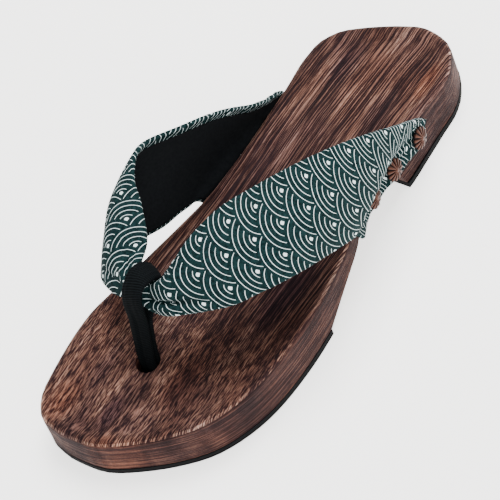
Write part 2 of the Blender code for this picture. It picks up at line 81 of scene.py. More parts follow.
# Height of the base's top edge. Columns: share of LENGTH, share of BOARD_HEIGHT
TOP_EDGE = [(-0.50, 0.896), (-0.26, 0.996), (0.0, 0.960), (0.26, 1.010), (0.50, 0.915)]

# Free part of the strap from the neck to the outer side, on its outer face.
# Columns: front edge and rear edge as shares of half BALL_WIDTH, of LENGTH and of STRAP_HEIGHT,
# the bulge between them as a share of STRAP_HEIGHT, and where across the strap it is highest
OUTER_STRAP = [
    (0.014, -0.2735, 0.645, 0.022, -0.2235, 0.732, 0.100, 0.50),
    (0.260, -0.2722, 0.712, 0.104, -0.1815, 0.888, 0.050, 0.50),
    (0.715, -0.2275, 0.782, 0.227, -0.1074, 0.949, 0.050, 0.50),
    (0.885, -0.1800, 0.763, 0.374, -0.0456, 0.942, 0.050, 0.50),
    (1.045, -0.1140, 0.709, 0.611, 0.0370, 0.923, 0.050, 0.50),
    (1.065, -0.0204, 0.526, 0.778, 0.1265, 0.800, 0.045, 0.50),
    (1.000, 0.0315, 0.372, 0.857, 0.2255, 0.560, 0.030, 0.50),
]

# The same columns from the neck to the inner side
INNER_STRAP = [
    (-0.236, -0.2778, 0.705, -0.207, -0.2296, 0.825, 0.058, 0.50),
    (-0.453, -0.2741, 0.679, -0.286, -0.1889, 0.853, 0.065, 0.50),
    (-0.709, -0.2481, 0.628, -0.483, -0.1444, 0.942, 0.085, 0.55),
    (-0.837, -0.1926, 0.551, -0.676, -0.1111, 0.994, 0.085, 0.62),
    (-0.828, -0.1333, 0.449, -0.822, -0.0530, 0.994, 0.060, 0.62),
    (-0.788, -0.0852, 0.378, -0.729, 0.0296, 0.875, 0.050, 0.55),
    (-0.760, -0.0444, 0.346, -0.670, 0.1111, 0.715, 0.045, 0.50),
    (-0.741, -0.0185, 0.314, -0.660, 0.1926, 0.472, 0.030, 0.50),
]

# Where the strap crosses the base's edge and where it ends on the wall, as shares of LENGTH
OUTER_CROSSING = ((0.0519, 0.3040), (0.0704, 0.2945))
INNER_CROSSING = ((0.0010, 0.2620), (0.0170, 0.2540))

# Path of the toe post, front leg first. Columns: offset forward and up from the neck as shares of
# the neck's height, and the band's width as a share of its usual width
POST_PATH = [
    (-0.315, -0.860, 0.88),
    (-0.298, -0.620, 0.94),
    (-0.244, -0.400, 1.00),
    (-0.190, -0.200, 1.05),
    (-0.165, -0.040, 1.12),
    (-0.126, 0.070, 1.16),
    (-0.034, 0.126, 1.16),
    (0.072, 0.088, 1.10),
    (0.135, -0.012, 1.00),
    (0.084, -0.105, 0.92),
    (-0.105, -0.222, 0.86),
    (-0.184, -0.400, 0.84),
    (-0.236, -0.620, 0.84),
    (-0.250, -0.860, 0.84),
]

# Slope of the band over the neck, which brings its outer edge nearer the toe
POST_YAW = 0.42

# Turn of the post's ribs on its band, and how far the wood's grain drifts sideways
RIB_TURN = np.radians(62.0)
GRAIN_DRIFT = 0.006

# Patches in the wood's tone; the last one is painted shadow under the outer strap. Columns: X, Y,
# half width, half length, turn in degrees, change of tone (a dark one is negative), change of
# warmth (a purple one is negative)
WOOD_PATCHES_AND_SHADOW = [
    (-0.0080, -0.0560, 0.0050, 0.034, 4.0, 0.12, 0.3),
    (-0.0120, -0.1080, 0.0050, 0.020, -4.0, 0.12, 0.5),
    (0.0180, -0.0900, 0.0130, 0.020, 0.0, -0.08, 0.3),
    (0.0030, -0.1010, 0.0050, 0.014, 0.0, -0.10, 0.0),
    (-0.0300, -0.0700, 0.0080, 0.030, 0.0, -0.07, 0.0),
    (0.0310, 0.1040, 0.0060, 0.022, 4.0, 0.08, 1.2),
    (-0.0130, 0.1000, 0.0090, 0.024, 0.0, -0.05, -0.8),
    (0.0190, 0.0780, 0.0100, 0.022, 0.0, -0.05, -0.8),
    (-0.0310, -0.1210, 0.0110, 0.016, 0.0, 0.0, 0.7),
    (0.0060, -0.1290, 0.0240, 0.010, 12.0, 0.0, 0.9),
    (-0.0230, -0.0980, 0.0070, 0.020, 0.0, -0.03, -0.8),
    (-0.0060, -0.1150, 0.0070, 0.012, 0.0, -0.02, -0.8),
    (0.0500, -0.0850, 0.0120, 0.035, 0.0, -0.07, 0.0),
    # Painted shadow: the shade under the outer strap, painted darker and more purple into the wood
    (0.0330, -0.0300, 0.0125, 0.034, 0.0, -0.14, -0.8),
]

# Main creases in the strap. Columns: distance from the neck along the strap at the start and at the
# end (the outer side is positive), share across at the start and at the end from the front edge,
# height (a trough is negative), half width
CREASES = [
    (0.002, 0.044, 0.24, 0.06, -0.0026, 0.0013),
    (0.002, 0.030, 0.11, 0.03, 0.0010, 0.0020),
    (0.002, 0.028, 0.58, 0.46, 0.0011, 0.0028),
    (0.004, 0.030, 0.80, 0.70, -0.0009, 0.0018),
    (0.006, 0.020, 0.93, 0.92, 0.0005, 0.0014),
    (-0.003, -0.034, 0.26, 0.16, -0.0010, 0.0015),
    (-0.004, -0.026, 0.50, 0.40, 0.0009, 0.0019),
    (-0.003, -0.030, 0.70, 0.62, -0.0008, 0.0015),
    (-0.006, -0.020, 0.88, 0.84, 0.0006, 0.0014),
    (0.060, 0.095, 0.40, 0.55, 0.0003, 0.0060),
    (-0.045, -0.085, 0.45, 0.60, 0.0003, 0.0060),
]

# Slope of the nails, which lean a little to the heel, and how far they are driven into the cloth
NAIL_TURN = 0.16
NAIL_SINK = 0.0005

# How wide the strap's end is held down by one nail, and how far its pleats and its folds die away
NAIL_HOLDS = 0.0075
GATHER_REACH = 0.017
END_CALM = 0.012
END_FLAT = 0.0022

# Folds at a nail: how deep the cloth round it lies, where the folds rise and where they start to die
# away, and the dimple that the head presses in, its depth and its width
NAIL_DEEP = 0.02
PUCKER_RISE = (0.0030, 0.0062)
PUCKER_START = 0.0048
DIMPLE_DEPTH = 0.0010
DIMPLE_WIDTH = 0.0066

# Points round a strap's edge, over a hem and over the floor between the hems. The floor starts a
# little past the hem, and what stands proud in front shows by this share behind
EDGE_TURNS = np.linspace(0.0, np.pi, 7)[1:-1]
HEM_STEPS = np.linspace(0.0, 1.0, 5)
FLOOR_STEPS = np.linspace(0.0, 1.0, 9)[1:-1]
HEM_OVERLAP = 1.04
LIFT_BEHIND = 0.6

# The lining: points across it, how far from the strap's end it stops, how deep its two faces lie under
# the strap's back, and how much its middle is padded out
LINING_ACROSS = 45
LINING_STOPS = 0.004
LINING_FACES = (0.00022, 0.00055)
LINING_PAD = 0.00012

# Rings of the nail's shank from its tip to the head. Columns: radius, height over the head's underside
NAIL_SHANK = [(0.0, -0.0120), (0.0011, -0.0120), (0.0011, -0.0003), (0.0011, 0.0)]

# Rings of the head: its rim, as shares of its radius and its height, then shares of the radius over
# the dome
NAIL_RIM = [(1.0, 0.0), (1.0, 0.10), (0.985, 0.22)]
NAIL_DOME = np.linspace(0.95, 0.0, 22)

# Points read for each row of a table that a smooth curve runs through
SPAN_POINTS = 24

# Gap between the floor and the rubber, so that the two don't flicker
FLOOR_DROP = 0.0002

# Usual width of the strap, by which a crease's share across it is turned into a distance
CREASE_ACROSS = 0.036

# Cloth that the crease beside the post hides
FOLD_HIDES = 0.0045

# The print's unit on the cloth, across a wave and up it, and how the two compare
PRINT_WIDE = 0.0146
PRINT_HIGH = 0.0092
PRINT_STRETCH = 1.55

# Lines around one wave's dot, and how soft the edge of the ink is
RING_COUNT = 4.0
INK_BLUR = 0.00004

# Lay of the print on the flattened strap, in print units. With u and v the distances along and across
# the cloth from the origin, and c the same as u but kept in the range, the outer half's weights are
# those of 1, u, v, uu, uv, vv, ccc and ccv, and the inner half's those of 1, u and v
OUTER_PRINT_ORIGIN = (0.2325, 0.0)
OUTER_PRINT_RANGE = (-0.065, 0.052)
OUTER_PRINT_X = [-0.001, 9.577, -72.871, 37.126, -48.556, 116.341, 337.75, 799.604]
OUTER_PRINT_Y = [-1.475, -69.584, -18.112, 90.372, -397.256, 493.98, 2180.139, -7255.495]
INNER_PRINT_ORIGIN = (0.1219, 0.0112)
INNER_PRINT_X = [-2.0, -15.0, -71.2]
INNER_PRINT_Y = [6.0, -69.6, 26.5]

# Where the two halves of the print meet, as distances along the strap from the neck
PRINT_MEETS = (-0.014, 0.012)

# Row of waves behind which a point may lie. Columns: result, operation, inputs
WAVE_START_SUMS = [
    ("behind", "SUBTRACT", "y", "cover"),
    ("rows_back", "DIVIDE", "behind", "step"),
    ("first", "FLOOR", "rows_back"),
]

# Ink that one row of waves gives and covers. Columns: result, operation, inputs
WAVE_ROW_SUMS = [
    ("number", "ADD", "first", "row"),
    ("shift", "FLOORED_MODULO", "number", 2.0),
    ("from_shift", "SUBTRACT", "x", "shift"),
    ("pairs", "DIVIDE", "from_shift", 2.0),
    ("column", "ROUND", "pairs"),
    ("column_x", "MULTIPLY", "column", 2.0),
    ("dx", "SUBTRACT", "from_shift", "column_x"),
    ("row_y", "MULTIPLY", "number", "step"),
    ("dy", "SUBTRACT", "y", "row_y"),
    ("dx_squared", "MULTIPLY", "dx", "dx"),
    ("dy_squared", "MULTIPLY", "dy", "dy"),
    ("away_squared", "ADD", "dx_squared", "dy_squared"),
    ("away", "SQRT", "away_squared"),
    ("rings_out", "DIVIDE", "away", "ring_step"),
    ("nearest_ring", "ROUND", "rings_out"),
    ("some_ring", "MAXIMUM", "nearest_ring", 1.0),
    ("ring", "MINIMUM", "some_ring", "ring_count"),
    ("ring_radius", "MULTIPLY", "ring", "ring_step"),
    ("past_ring", "SUBTRACT", "away", "ring_radius"),
    ("off_ring", "ABSOLUTE", "past_ring"),
    ("some_away", "MAXIMUM", "away", 0.001),
    ("lean", "DIVIDE", "dx", "some_away"),
    ("lean_squared", "MULTIPLY", "lean", "lean"),
    ("scale_change", "MULTIPLY", "lean_squared", "level_scale_change"),
    ("scale_squared", "ADD", "upright_scale", "scale_change"),
    ("scale", "SQRT", "scale_squared"),
    ("off_line", "DIVIDE", "off_ring", "scale"),
    ("wide", "MULTIPLY", "dx", "print_wide"),
    ("high", "MULTIPLY", "dy", "print_high"),
    ("wide_squared", "MULTIPLY", "wide", "wide"),
    ("high_squared", "MULTIPLY", "high", "high"),
    ("off_dot_squared", "ADD", "wide_squared", "high_squared"),
    ("off_dot", "SQRT", "off_dot_squared"),
    ("line_left", "SUBTRACT", "line_reach", "off_line"),
    ("line", "DIVIDE", "line_left", "blur"),
    ("dot_left", "SUBTRACT", "dot_reach", "off_dot"),
    ("dot", "DIVIDE", "dot_left", "blur"),
    ("either", "MAXIMUM", "line", "dot"),
    ("some_ink", "MAXIMUM", "either", 0.0),
    ("row_ink", "MINIMUM", "some_ink", 1.0),
    ("inside", "LESS_THAN", "away", "cover"),
    ("outside", "SUBTRACT", 1.0, "inside"),
    ("ink_behind", "MULTIPLY", "ink", "outside"),
    ("ink_here", "MULTIPLY", "row_ink", "inside"),
    ("ink", "ADD", "ink_behind", "ink_here"),
]

# Stretched noises in the wood. Columns: name, the space it is read in (bent follows the drifting
# grain), steps for each metre along X, Y and Z, detail, roughness. The brushed lines are 0.6 mm apart
# and 50 mm long over the footbed, and 0.4 mm apart and 6 mm long at the toe
WOOD_NOISES = [
    ("long_lines", "bent", (1600.0, 20.0, 120.0), 3.0, 0.8),
    ("short_lines", "bent", (2500.0, 180.0, 120.0), 2.0, 0.7),
    ("level_lines", "place", (28.0, 28.0, 1700.0), 4.0, 0.75),
    ("bands", "bent", (210.0, 8.0, 40.0), 2.0, 0.5),
    ("clouds", "place", (70.0, 26.0, 60.0), 2.0, 0.5),
    ("specks", "place", (1700.0, 300.0, 900.0), 2.0, 0.6),
    ("warm_clouds", "place", (40.0, 16.0, 40.0), 2.0, 0.5),
]

# The wood's lines, tone and warmth before its patches. Columns: result, operation, inputs
WOOD_SUMS = [
    ("toe", "SMOOTHSTEP", "y", -0.020, -0.085, 0.0, 1.0),
    ("off_toe", "SUBTRACT", 1.0, "toe"),
    ("long_part", "MULTIPLY", "long_lines", "off_toe"),
    ("top_lines", "MULTIPLY_ADD", "short_lines", "toe", "long_part"),
    ("steepness", "ABSOLUTE", "facing"),
    ("wall", "SMOOTHSTEP", "steepness", 0.62, 0.35, 0.0, 1.0),
    ("off_wall", "SUBTRACT", 1.0, "wall"),
    ("top_part", "MULTIPLY", "top_lines", "off_wall"),
    ("all_lines", "MULTIPLY_ADD", "level_lines", "wall", "top_part"),
    ("sharp_lines", "SMOOTHSTEP", "all_lines", 0.43, 0.59, 0.0, 1.0),
    ("evening", "MULTIPLY", "wall", 0.4),
    ("off_evening", "SUBTRACT", 1.0, "evening"),
    ("kept_lines", "MULTIPLY", "sharp_lines", "off_evening"),
    ("lines", "MULTIPLY_ADD", "evening", 0.45, "kept_lines"),
    ("tone", "MULTIPLY_ADD", "lines", 0.45, 0.04),
    ("band_steps", "SMOOTHSTEP", "bands", 0.32, 0.68, 0.0, 1.0),
    ("tone", "MULTIPLY_ADD", "band_steps", 0.09, "tone"),
    ("cloud_steps", "SMOOTHSTEP", "clouds", 0.30, 0.70, 0.0, 1.0),
    ("tone", "MULTIPLY_ADD", "cloud_steps", 0.13, "tone"),
    ("tone", "MULTIPLY_ADD", "specks", 0.24, "tone"),
    ("wall_dark", "MULTIPLY", "wall", "wall_char"),
    ("tone", "SUBTRACT", "tone", "wall_dark"),
    ("warm_steps", "SMOOTHSTEP", "warm_clouds", 0.34, 0.66, -0.5, 0.3),
    ("warmth", "MULTIPLY_ADD", "wall", 0.35, "warm_steps"),
]

# What one patch adds to the wood's tone and warmth
WOOD_PATCH_SUMS = [
    ("near", "SMOOTHSTEP", "away", 0.15, 1.0, 1.0, 0.0),
    ("tone", "MULTIPLY_ADD", "near", "tone_change", "tone"),
    ("warmth", "MULTIPLY_ADD", "near", "warmth_change", "warmth"),
]

# The rounded edge, painted lighter as wear and as a painted highlight, then what the ramps and the bump read
WOOD_END_SUMS = [
    ("above_wall", "SMOOTHSTEP", "facing", 0.25, 0.62, 0.0, 1.0),
    ("below_top", "SMOOTHSTEP", "facing", 0.985, 0.90, 0.0, 1.0),
    ("edge", "MULTIPLY", "above_wall", "below_top"),
    # Painted highlight and wear: the rounded edge is made lighter in the wood's tone
    ("tone", "MULTIPLY_ADD", "edge", "edge_wear", "tone"),
    ("tint_place", "MULTIPLY_ADD", "warmth", 0.5, 0.5),
    ("roughness", "SMOOTHSTEP", "tone", 0.3, 0.9, 0.68, 0.5),
    ("relief", "MULTIPLY_ADD", "specks", 0.5, "lines"),
]

# Camera that fits the photograph, for an image 500 pixels wide
IMAGE_WIDTH = 500.0
FOCAL_PIXELS = 1796.09
SENSOR_WIDTH_MM = 36.0
CAMERA_PLACE = Vector((0.42158, -0.32957, 0.66634))
CAMERA_TARGET = Vector((-0.01381, -0.00405, 0.0))
CAMERA_ROLL = -23.915


def linear(hex_colour):
    """Turn an sRGB hex colour into linear RGBA."""
    channels = np.array([int(hex_colour[i:i + 2], 16) for i in (1, 3, 5)]) / 255.0
    low = channels / 12.92
    high = ((channels + 0.055) / 1.055) ** 2.4
    return (*np.where(channels <= 0.04045, low, high), 1.0)


def set_inputs(node, inputs):
    """Give a node's inputs, by name or number, a value or the node or output that feeds them."""
    for key, value in inputs.items():
        if isinstance(value, bpy.types.Node):
            value = value.outputs[0]
        if isinstance(value, bpy.types.NodeSocket):
            node.id_data.links.new(value, node.inputs[key])
        else:
            node.inputs[key].default_value = value


def set_stops(elements, stops):
    """Give a colour ramp's elements their places and hex colours."""
    while len(elements) < len(stops):
        elements.new(0.5)
    for element, (place, colour) in zip(elements, stops):
        element.position = place
        element.color = linear(colour)


def add_node(tree, kind, settings=None, inputs=None):
    """Add a node with its settings and inputs. The setting called stops is for a colour ramp."""
    node = tree.nodes.new(kind)
    for name, value in (settings or {}).items():
        if name == "stops":
            set_stops(node.color_ramp.elements, value)
        else:
            setattr(node, name, value)
    set_inputs(node, inputs or {})
    return node


def add_sums(tree, found, table):
    """Add a table of sums as nodes, and keep each result in found under its name.

    An input is a number or the name of an earlier result. SMOOTHSTEP takes a value, the two values
    that it rises between, and what it gives at each.
    """
    for name, operation, *inputs in table:
        if operation == "SMOOTHSTEP":
            kind, settings = "ShaderNodeMapRange", {"interpolation_type": operation}
        else:
            kind, settings = "ShaderNodeMath", {"operation": operation}
        sources = {number: found.get(source, source) for number, source in enumerate(inputs)}
        found[name] = add_node(tree, kind, settings, sources)


def new_material(name):
    """Return a material, its node tree and its shader, which feeds the output."""
    made = bpy.data.materials.new(name)
    made.use_nodes = True
    tree = made.node_tree
    tree.nodes.clear()
    shader = add_node(tree, "ShaderNodeBsdfPrincipled")
    add_node(tree, "ShaderNodeOutputMaterial", inputs={"Surface": shader})
    return made, tree, shader


def through(rows, samples):
    """Sample a Catmull-Rom curve through rows of values; samples run from 0 to the last row."""
    rows = np.asarray(rows, dtype=float)
    padded = np.concatenate([2.0 * rows[:1] - rows[1:2], rows, 2.0 * rows[-1:] - rows[-2:-1]])
    place = np.clip(np.asarray(samples, dtype=float), 0.0, len(rows) - 1.0)
    span = np.minimum(place.astype(int), len(rows) - 2)
    t = (place - span).reshape((-1,) + (1,) * (rows.ndim - 1))
    a, b, c, d = (padded[span + k] for k in range(4))
    return 0.5 * (2.0 * b + (c - a) * t + (2.0 * a - 5.0 * b + 4.0 * c - d) * t ** 2
                  + (3.0 * b - a - 3.0 * c + d) * t ** 3)


def unit(vectors):
    """Return vectors at length 1."""
    return vectors / np.maximum(np.linalg.norm(vectors, axis=-1, keepdims=True), 1e-12)


def hump(distance, half_width):
    """A soft bell, 1 in the middle and near 0 two half widths away."""
    return np.exp(-(distance / half_width) ** 2)


def ease(low, high, value):
    """Rise smoothly from 0 at low to 1 at high."""
    t = np.clip((value - low) / (high - low), 0.0, 1.0)
    return t * t * (3.0 - 2.0 * t)


def surface_normals(grid):
    """Normals of a grid of points: the cross product of its two directions."""
    return unit(np.cross(np.gradient(grid, axis=0), np.gradient(grid, axis=1)))


def top_edge_height(y):
    """Height of the base's top edge at a place along its length."""
    fine = through(TOP_EDGE, np.linspace(0.0, len(TOP_EDGE) - 1.0, SPAN_POINTS * len(TOP_EDGE)))
    return BOARD_HEIGHT * np.interp((y - FOOT_Y) / LENGTH, fine[:, 0], fine[:, 1])


class Walls:
    """The base's two side walls, read with rays at two heights, above and below the nail holes."""

    LOW = 0.0155
    HIGH = 0.0209
    RANGE = (-0.030, 0.100)
    COUNT = 90

    def __init__(self):
        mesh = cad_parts["wooden_base"].data
        tree = BVHTree.FromPolygons([v.co for v in mesh.vertices], [p.vertices for p in mesh.polygons])
        self.y = np.linspace(*self.RANGE, self.COUNT)
        self.x = {}
        for side in (-1.0, 1.0):
            lines = []
            for z in (self.LOW, self.HIGH):
                hits = [tree.ray_cast(Vector((side, y, z)), Vector((-side, 0.0, 0.0)))[0].x for y in self.y]
                lines.append(np.array(hits))
            self.x[side] = lines

    def at(self, y, z, side):
        """X of the wall at places and heights: straight up the wall through its two read lines."""
        low, high = self.x[side]
        base = np.interp(y, self.y, low)
        slope = np.interp(y, self.y, high - low) / (self.HIGH - self.LOW)
        return base + slope * (z - self.LOW)


def crown(across, peak):
    """A hump of height 1 across the strap, nearer the rear edge as peak grows."""
    turned = across ** (np.log(0.5) / np.log(peak))
    return 4.0 * turned * (1.0 - turned)


def free_rows(table, across):
    """Rows of the strap between the neck and a wall: a straight line between the edges plus a bulge."""
    size = np.array([0.5 * BALL_WIDTH, LENGTH, STRAP_HEIGHT])
    rows = np.array(table)
    front = rows[:, 0:3] * size
    rear = rows[:, 3:6] * size
    along = np.gradient(0.5 * (front + rear), axis=0)
    out = np.cross(along, rear - front) * np.sign(rows[:, :1] - NECK.x / size[0])
    bulge = rows[:, 6:7] * STRAP_HEIGHT * crown(across, rows[:, 7:8])
    grid = front[:, None] + (rear - front)[:, None] * across[None, :, None]
    grid = grid + unit(out)[:, None] * bulge[:, :, None]
    return list(grid + np.array([FOOT_X, FOOT_Y, 0.0]))


def neck_row(across):
    """The rolled row under the toe post: a parabola across the neck."""
    middle = np.array([NECK.x + FOOT_X, NECK.y + FOOT_Y, NECK.z])
    front = middle - np.array([0.0, NECK_REACH, NECK_FRONT_DROP])
    rear = middle + np.array([0.0, NECK_REACH, NECK_REAR_RISE])
    out = unit(np.cross([1.0, 0.0, 0.0], rear - front))
    rise = NECK_CROWN * (1.0 - (2.0 * across - 1.0) ** 2)
    return front + (rear - front) * across[:, None] + out * rise[:, None]


def wall_rows(walls, side, crossing, across, nail_ys, scallop):
    """Rows that bend over the edge and lie on the wall; the end rises between the nails."""
    start, end = crossing
    rows = []
    for share in STRAP_FOLD_STEPS:
        front, rear = (a + (b - a) * share for a, b in zip(start, end))
        y = LENGTH * (front + (rear - front) * across) + FOOT_Y
        held = np.max([hump(y - nail, NAIL_HOLDS) for nail in nail_ys], axis=0)
        fall = STRAP_FOLD_BELOW * (STRAP_FOLD_START + (1.0 - STRAP_FOLD_START) * share)
        z = top_edge_height(y) - fall * (1.0 - scallop * share * (1.0 - held))
        rows.append(np.stack([walls.at(y, z, side) + side * STRAP_SEAT, y, z], axis=1))
    return rows


def press_to_wall(walls, grid, side):
    """Keep the strap's outer face its own thickness off the wall."""
    x, y, z = (grid[..., k] for k in range(3))
    seat = side * (walls.at(y, z, side) + side * STRAP_SEAT)
    beside = (z < top_edge_height(y) + STRAP_THICKNESS) & (side * x > 0.0)
    pressed = grid.copy()
    pressed[..., 0] = np.where(beside, side * np.maximum(side * x, seat), x)
    return pressed


def nail_seats():
    """Name, place and outward direction of each nail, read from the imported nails.

    A nail is the same all round its axis, so the axis is the principal direction of its points that
    is nearest to X, and the head's underside lies one head height below its highest point.
    """
    seats = []
    for name, node in sorted(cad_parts.items()):
        if not name.startswith("nail_"):
            continue
        points = np.empty(3 * len(node.data.vertices))
        node.data.vertices.foreach_get("co", points)
        points = points.reshape(-1, 3)
        middle = points.mean(axis=0)
        _, directions = np.linalg.eigh(np.cov((points - middle).T))
        axis = directions[:, np.argmax(np.abs(directions[0]))]
        axis = axis * np.sign(axis[0]) * (1.0 if "outer" in name else -1.0)
        top = ((points - middle) @ axis).max()
        head = bpy.context.scene.geta_nails.head_height
        place = middle + axis * (top - head - NAIL_SINK)
        seats.append((name, place, unit(axis + np.array([0.0, NAIL_TURN, 0.0]))))
    return seats


def strap_rows(walls, across, seats, scallop):
    """All rows of the strap's outer face: inner wall, inner strap, neck, outer strap, outer wall."""
    outer_ys = [place[1] for name, place, _ in seats if "outer" in name]
    inner_ys = [place[1] for name, place, _ in seats if "inner" in name]
    inner = free_rows(INNER_STRAP, across)
    inner += wall_rows(walls, -1.0, INNER_CROSSING, across, inner_ys, scallop)
    outer = free_rows(OUTER_STRAP, across)
    outer += wall_rows(walls, 1.0, OUTER_CROSSING, across, outer_ys, scallop)
    return np.array(inner[::-1] + [neck_row(across)] + outer)


def strap_face(walls, seats, along_count, across_count, scallop):
    """The strap's outer face as an even grid, and how far each row is from the neck along it."""
    across = np.linspace(0.0, 1.0, across_count + 1)
    rows = strap_rows(walls, across, seats, scallop)
    fine_place = np.linspace(0.0, len(rows) - 1.0, SPAN_POINTS * len(rows))
    fine = through(rows[:, across_count // 2], fine_place)
    run = np.concatenate([[0.0], np.cumsum(np.linalg.norm(np.diff(fine, axis=0), axis=1))])
    wanted = np.linspace(0.0, run[-1], along_count + 1)
    place = np.interp(wanted, run, fine_place)
    grid = through(rows, place)
    for side in (-1.0, 1.0):
        grid = press_to_wall(walls, grid, side)
    neck_run = np.interp(len(INNER_STRAP) + len(STRAP_FOLD_STEPS), place, wanted)
    return grid, wanted - neck_run


def lay_flat(grid, rounds=900):
    """Lay a curved grid flat by spring relaxation.

    The flat points start at their lengths along and across. Each round moves every pair of
    neighbours, near and far, half way to the distance that they have on the curved grid.
    """
    middle = grid[:, grid.shape[1] // 2]
    run = np.concatenate([[0.0], np.cumsum(np.linalg.norm(np.diff(middle, axis=0), axis=1))])
    wide = np.concatenate([np.zeros((len(grid), 1)),
                           np.cumsum(np.linalg.norm(np.diff(grid, axis=1), axis=2), axis=1)], axis=1)
    wide -= wide[:, grid.shape[1] // 2][:, None]
    flat = np.stack([np.broadcast_to(run[:, None], wide.shape), wide], axis=2).copy()
    everything = slice(None)
    pairs = [
        ((slice(0, -1), everything), (slice(1, None), everything)),
        ((everything, slice(0, -1)), (everything, slice(1, None))),
        ((slice(0, -1), slice(0, -1)), (slice(1, None), slice(1, None))),
        ((slice(0, -1), slice(1, None)), (slice(1, None), slice(0, -1))),
        ((slice(0, -3), everything), (slice(3, None), everything)),
        ((everything, slice(0, -4)), (everything, slice(4, None))),
    ]
    rest = [np.linalg.norm(grid[a] - grid[b], axis=2) for a, b in pairs]
    for _ in range(rounds):
        move = np.zeros_like(flat)
        count = np.zeros(flat.shape[:2])
        for (a, b), length in zip(pairs, rest):
            gap = flat[b] - flat[a]
            now = np.linalg.norm(gap, axis=2) + 1e-12
            pull = (0.5 * (now - length) / now)[..., None] * gap
            move[a] += pull
            move[b] -= pull
            count[a] += 1
            count[b] += 1
        flat += move / count[..., None]
    return flat


def refine(coarse, shape):
    """Sample a coarse grid of values at a finer shape, with a smooth curve in both directions."""
    rows = through(coarse, np.linspace(0.0, coarse.shape[0] - 1.0, shape[0]))
    turned = through(rows.swapaxes(0, 1), np.linspace(0.0, coarse.shape[1] - 1.0, shape[1]))
    return turned.swapaxes(0, 1)


def along_crease(row, run):
    """How far along a crease each place lies, from 0 to 1, and the crease's share across there."""
    start, end, share_start, share_end = row[:4]
    t = (run - start) / (end - start)
    return t, share_start + (share_end - share_start) * t


def crease_height(run, across):
    """Sum of the listed creases: each is a bell across its line and fades in and out along it."""
    total = 0.0
    for row in CREASES:
        height, half_width = row[4:]
        t, centre = along_crease(row, run)
        fade = ease(-0.15, 0.12, t) * (1.0 - ease(0.45, 1.05, t))
        total = total + height * fade * hump((across - centre) * CREASE_ACROSS, half_width)
    return total


def fold_shift(run, across):
    """Cloth taken in by the first crease: the print in front of it moves back into the trough."""
    half_width = CREASES[0][5]
    t, centre = along_crease(CREASES[0], run)
    fade = ease(-0.30, 0.05, t) * (1.0 - ease(0.35, 1.05, t))
    return FOLD_HIDES * fade * (1.0 - ease(-half_width, half_width, (across - centre) * CREASE_ACROSS))


def gather_height(run, across, depth):
    """Fine pleats along the strap: two sets of cosines across it, which die away from the neck."""
    broad = np.cos(2.0 * np.pi * (4.6 * across + 9.0 * run))
    narrow = np.cos(2.0 * np.pi * 8.3 * across + 1.1)
    return depth * hump(run, GATHER_REACH) * (broad + 0.5 * narrow)


def pucker_height(face, normals, seats, settings):
    """Folds that run out from each nail, over a soft dimple.

    The folds are two cosines of the angle round the nail. They rise at the head's rim, die away with
    the distance from it and reach further up the strap. Where the strap bends over the edge, the
    distance grows with how far the cloth lies behind the head.
    """
    total = np.zeros(face.shape[:2])
    for index, (_, place, axis) in enumerate(seats):
        away = face - place
        level = away @ axis
        side = unit(np.cross(axis, [0.0, 0.0, 1.0]))
        up = np.cross(side, axis)
        x = away @ side
        y = away @ up + 0.6 * np.maximum(-level, 0.0)
        radius = np.hypot(x, y)
        angle = np.arctan2(y, x)
        near = (np.abs(level) < NAIL_DEEP) & (normals @ axis > -0.2)
        reach = settings.pucker_reach * (1.0 + 0.9 * np.clip(np.sin(angle), 0.0, 1.0))
        fade = np.exp(-np.maximum(radius - PUCKER_START, 0.0) / reach) * ease(*PUCKER_RISE, radius)
        waves = np.cos(settings.pucker_count * angle + 1.7 * index)
        waves = waves + 0.35 * np.cos((settings.pucker_count * 2 - 3) * angle + 0.8 * index)
        dimple = DIMPLE_DEPTH * hump(radius, DIMPLE_WIDTH)
        total += near * (settings.pucker_depth * fade * waves - dimple)
    return total


def print_lay(flat, run):
    """Where the print lies: its own X and Y on the cloth, 1 being the radius of a wave.

    Each half of the strap has its own lay, fitted to the places of the dots that the photograph
    shows. The inner one is straight and the outer one bends a little. They meet softly in the
    gathers under the toe post.
    """
    u, v = (flat[..., k] - OUTER_PRINT_ORIGIN[k] for k in (0, 1))
    c = np.clip(u, *OUTER_PRINT_RANGE)
    terms = np.stack([np.ones_like(u), u, v, u * u, u * v, v * v, c ** 3, c * c * v], axis=-1)
    outer = terms @ np.transpose([OUTER_PRINT_X, OUTER_PRINT_Y])
    u, v = (flat[..., k] - INNER_PRINT_ORIGIN[k] for k in (0, 1))
    inner = np.stack([np.ones_like(u), u, v], axis=-1) @ np.transpose([INNER_PRINT_X, INNER_PRINT_Y])
    return inner + (outer - inner) * ease(*PRINT_MEETS, run)[..., None]


def interpolate_across(grid, shares):
    """Read an even grid at other shares across it, row by row, in straight steps."""
    count = grid.shape[1] - 1
    place = np.clip(shares, 0.0, 1.0) * count
    low = np.minimum(place.astype(int), count - 1)
    t = (place - low)[..., None]
    rows = np.arange(len(grid))[:, None]
    return grid[rows, low] * (1.0 - t) + grid[rows, low + 1] * t


def tube_faces(rows, count):
    """Four-sided faces of a closed band of loops, one loop a row."""
    i = np.arange(rows - 1)[:, None] * count
    j = np.arange(count)[None, :]
    k = (j + 1) % count
    return np.stack([i + j, i + k, i + count + k, i + count + j], axis=-1).reshape(-1, 4).tolist()


def cap_faces(first, count):
    """A strip of faces that closes a loop whose two halves face each other."""
    half = count // 2
    j = np.arange(half - 1)
    quads = np.stack([first + j, first + j + 1, first + count - 2 - j, first + count - 1 - j], axis=-1)
    return quads.tolist()


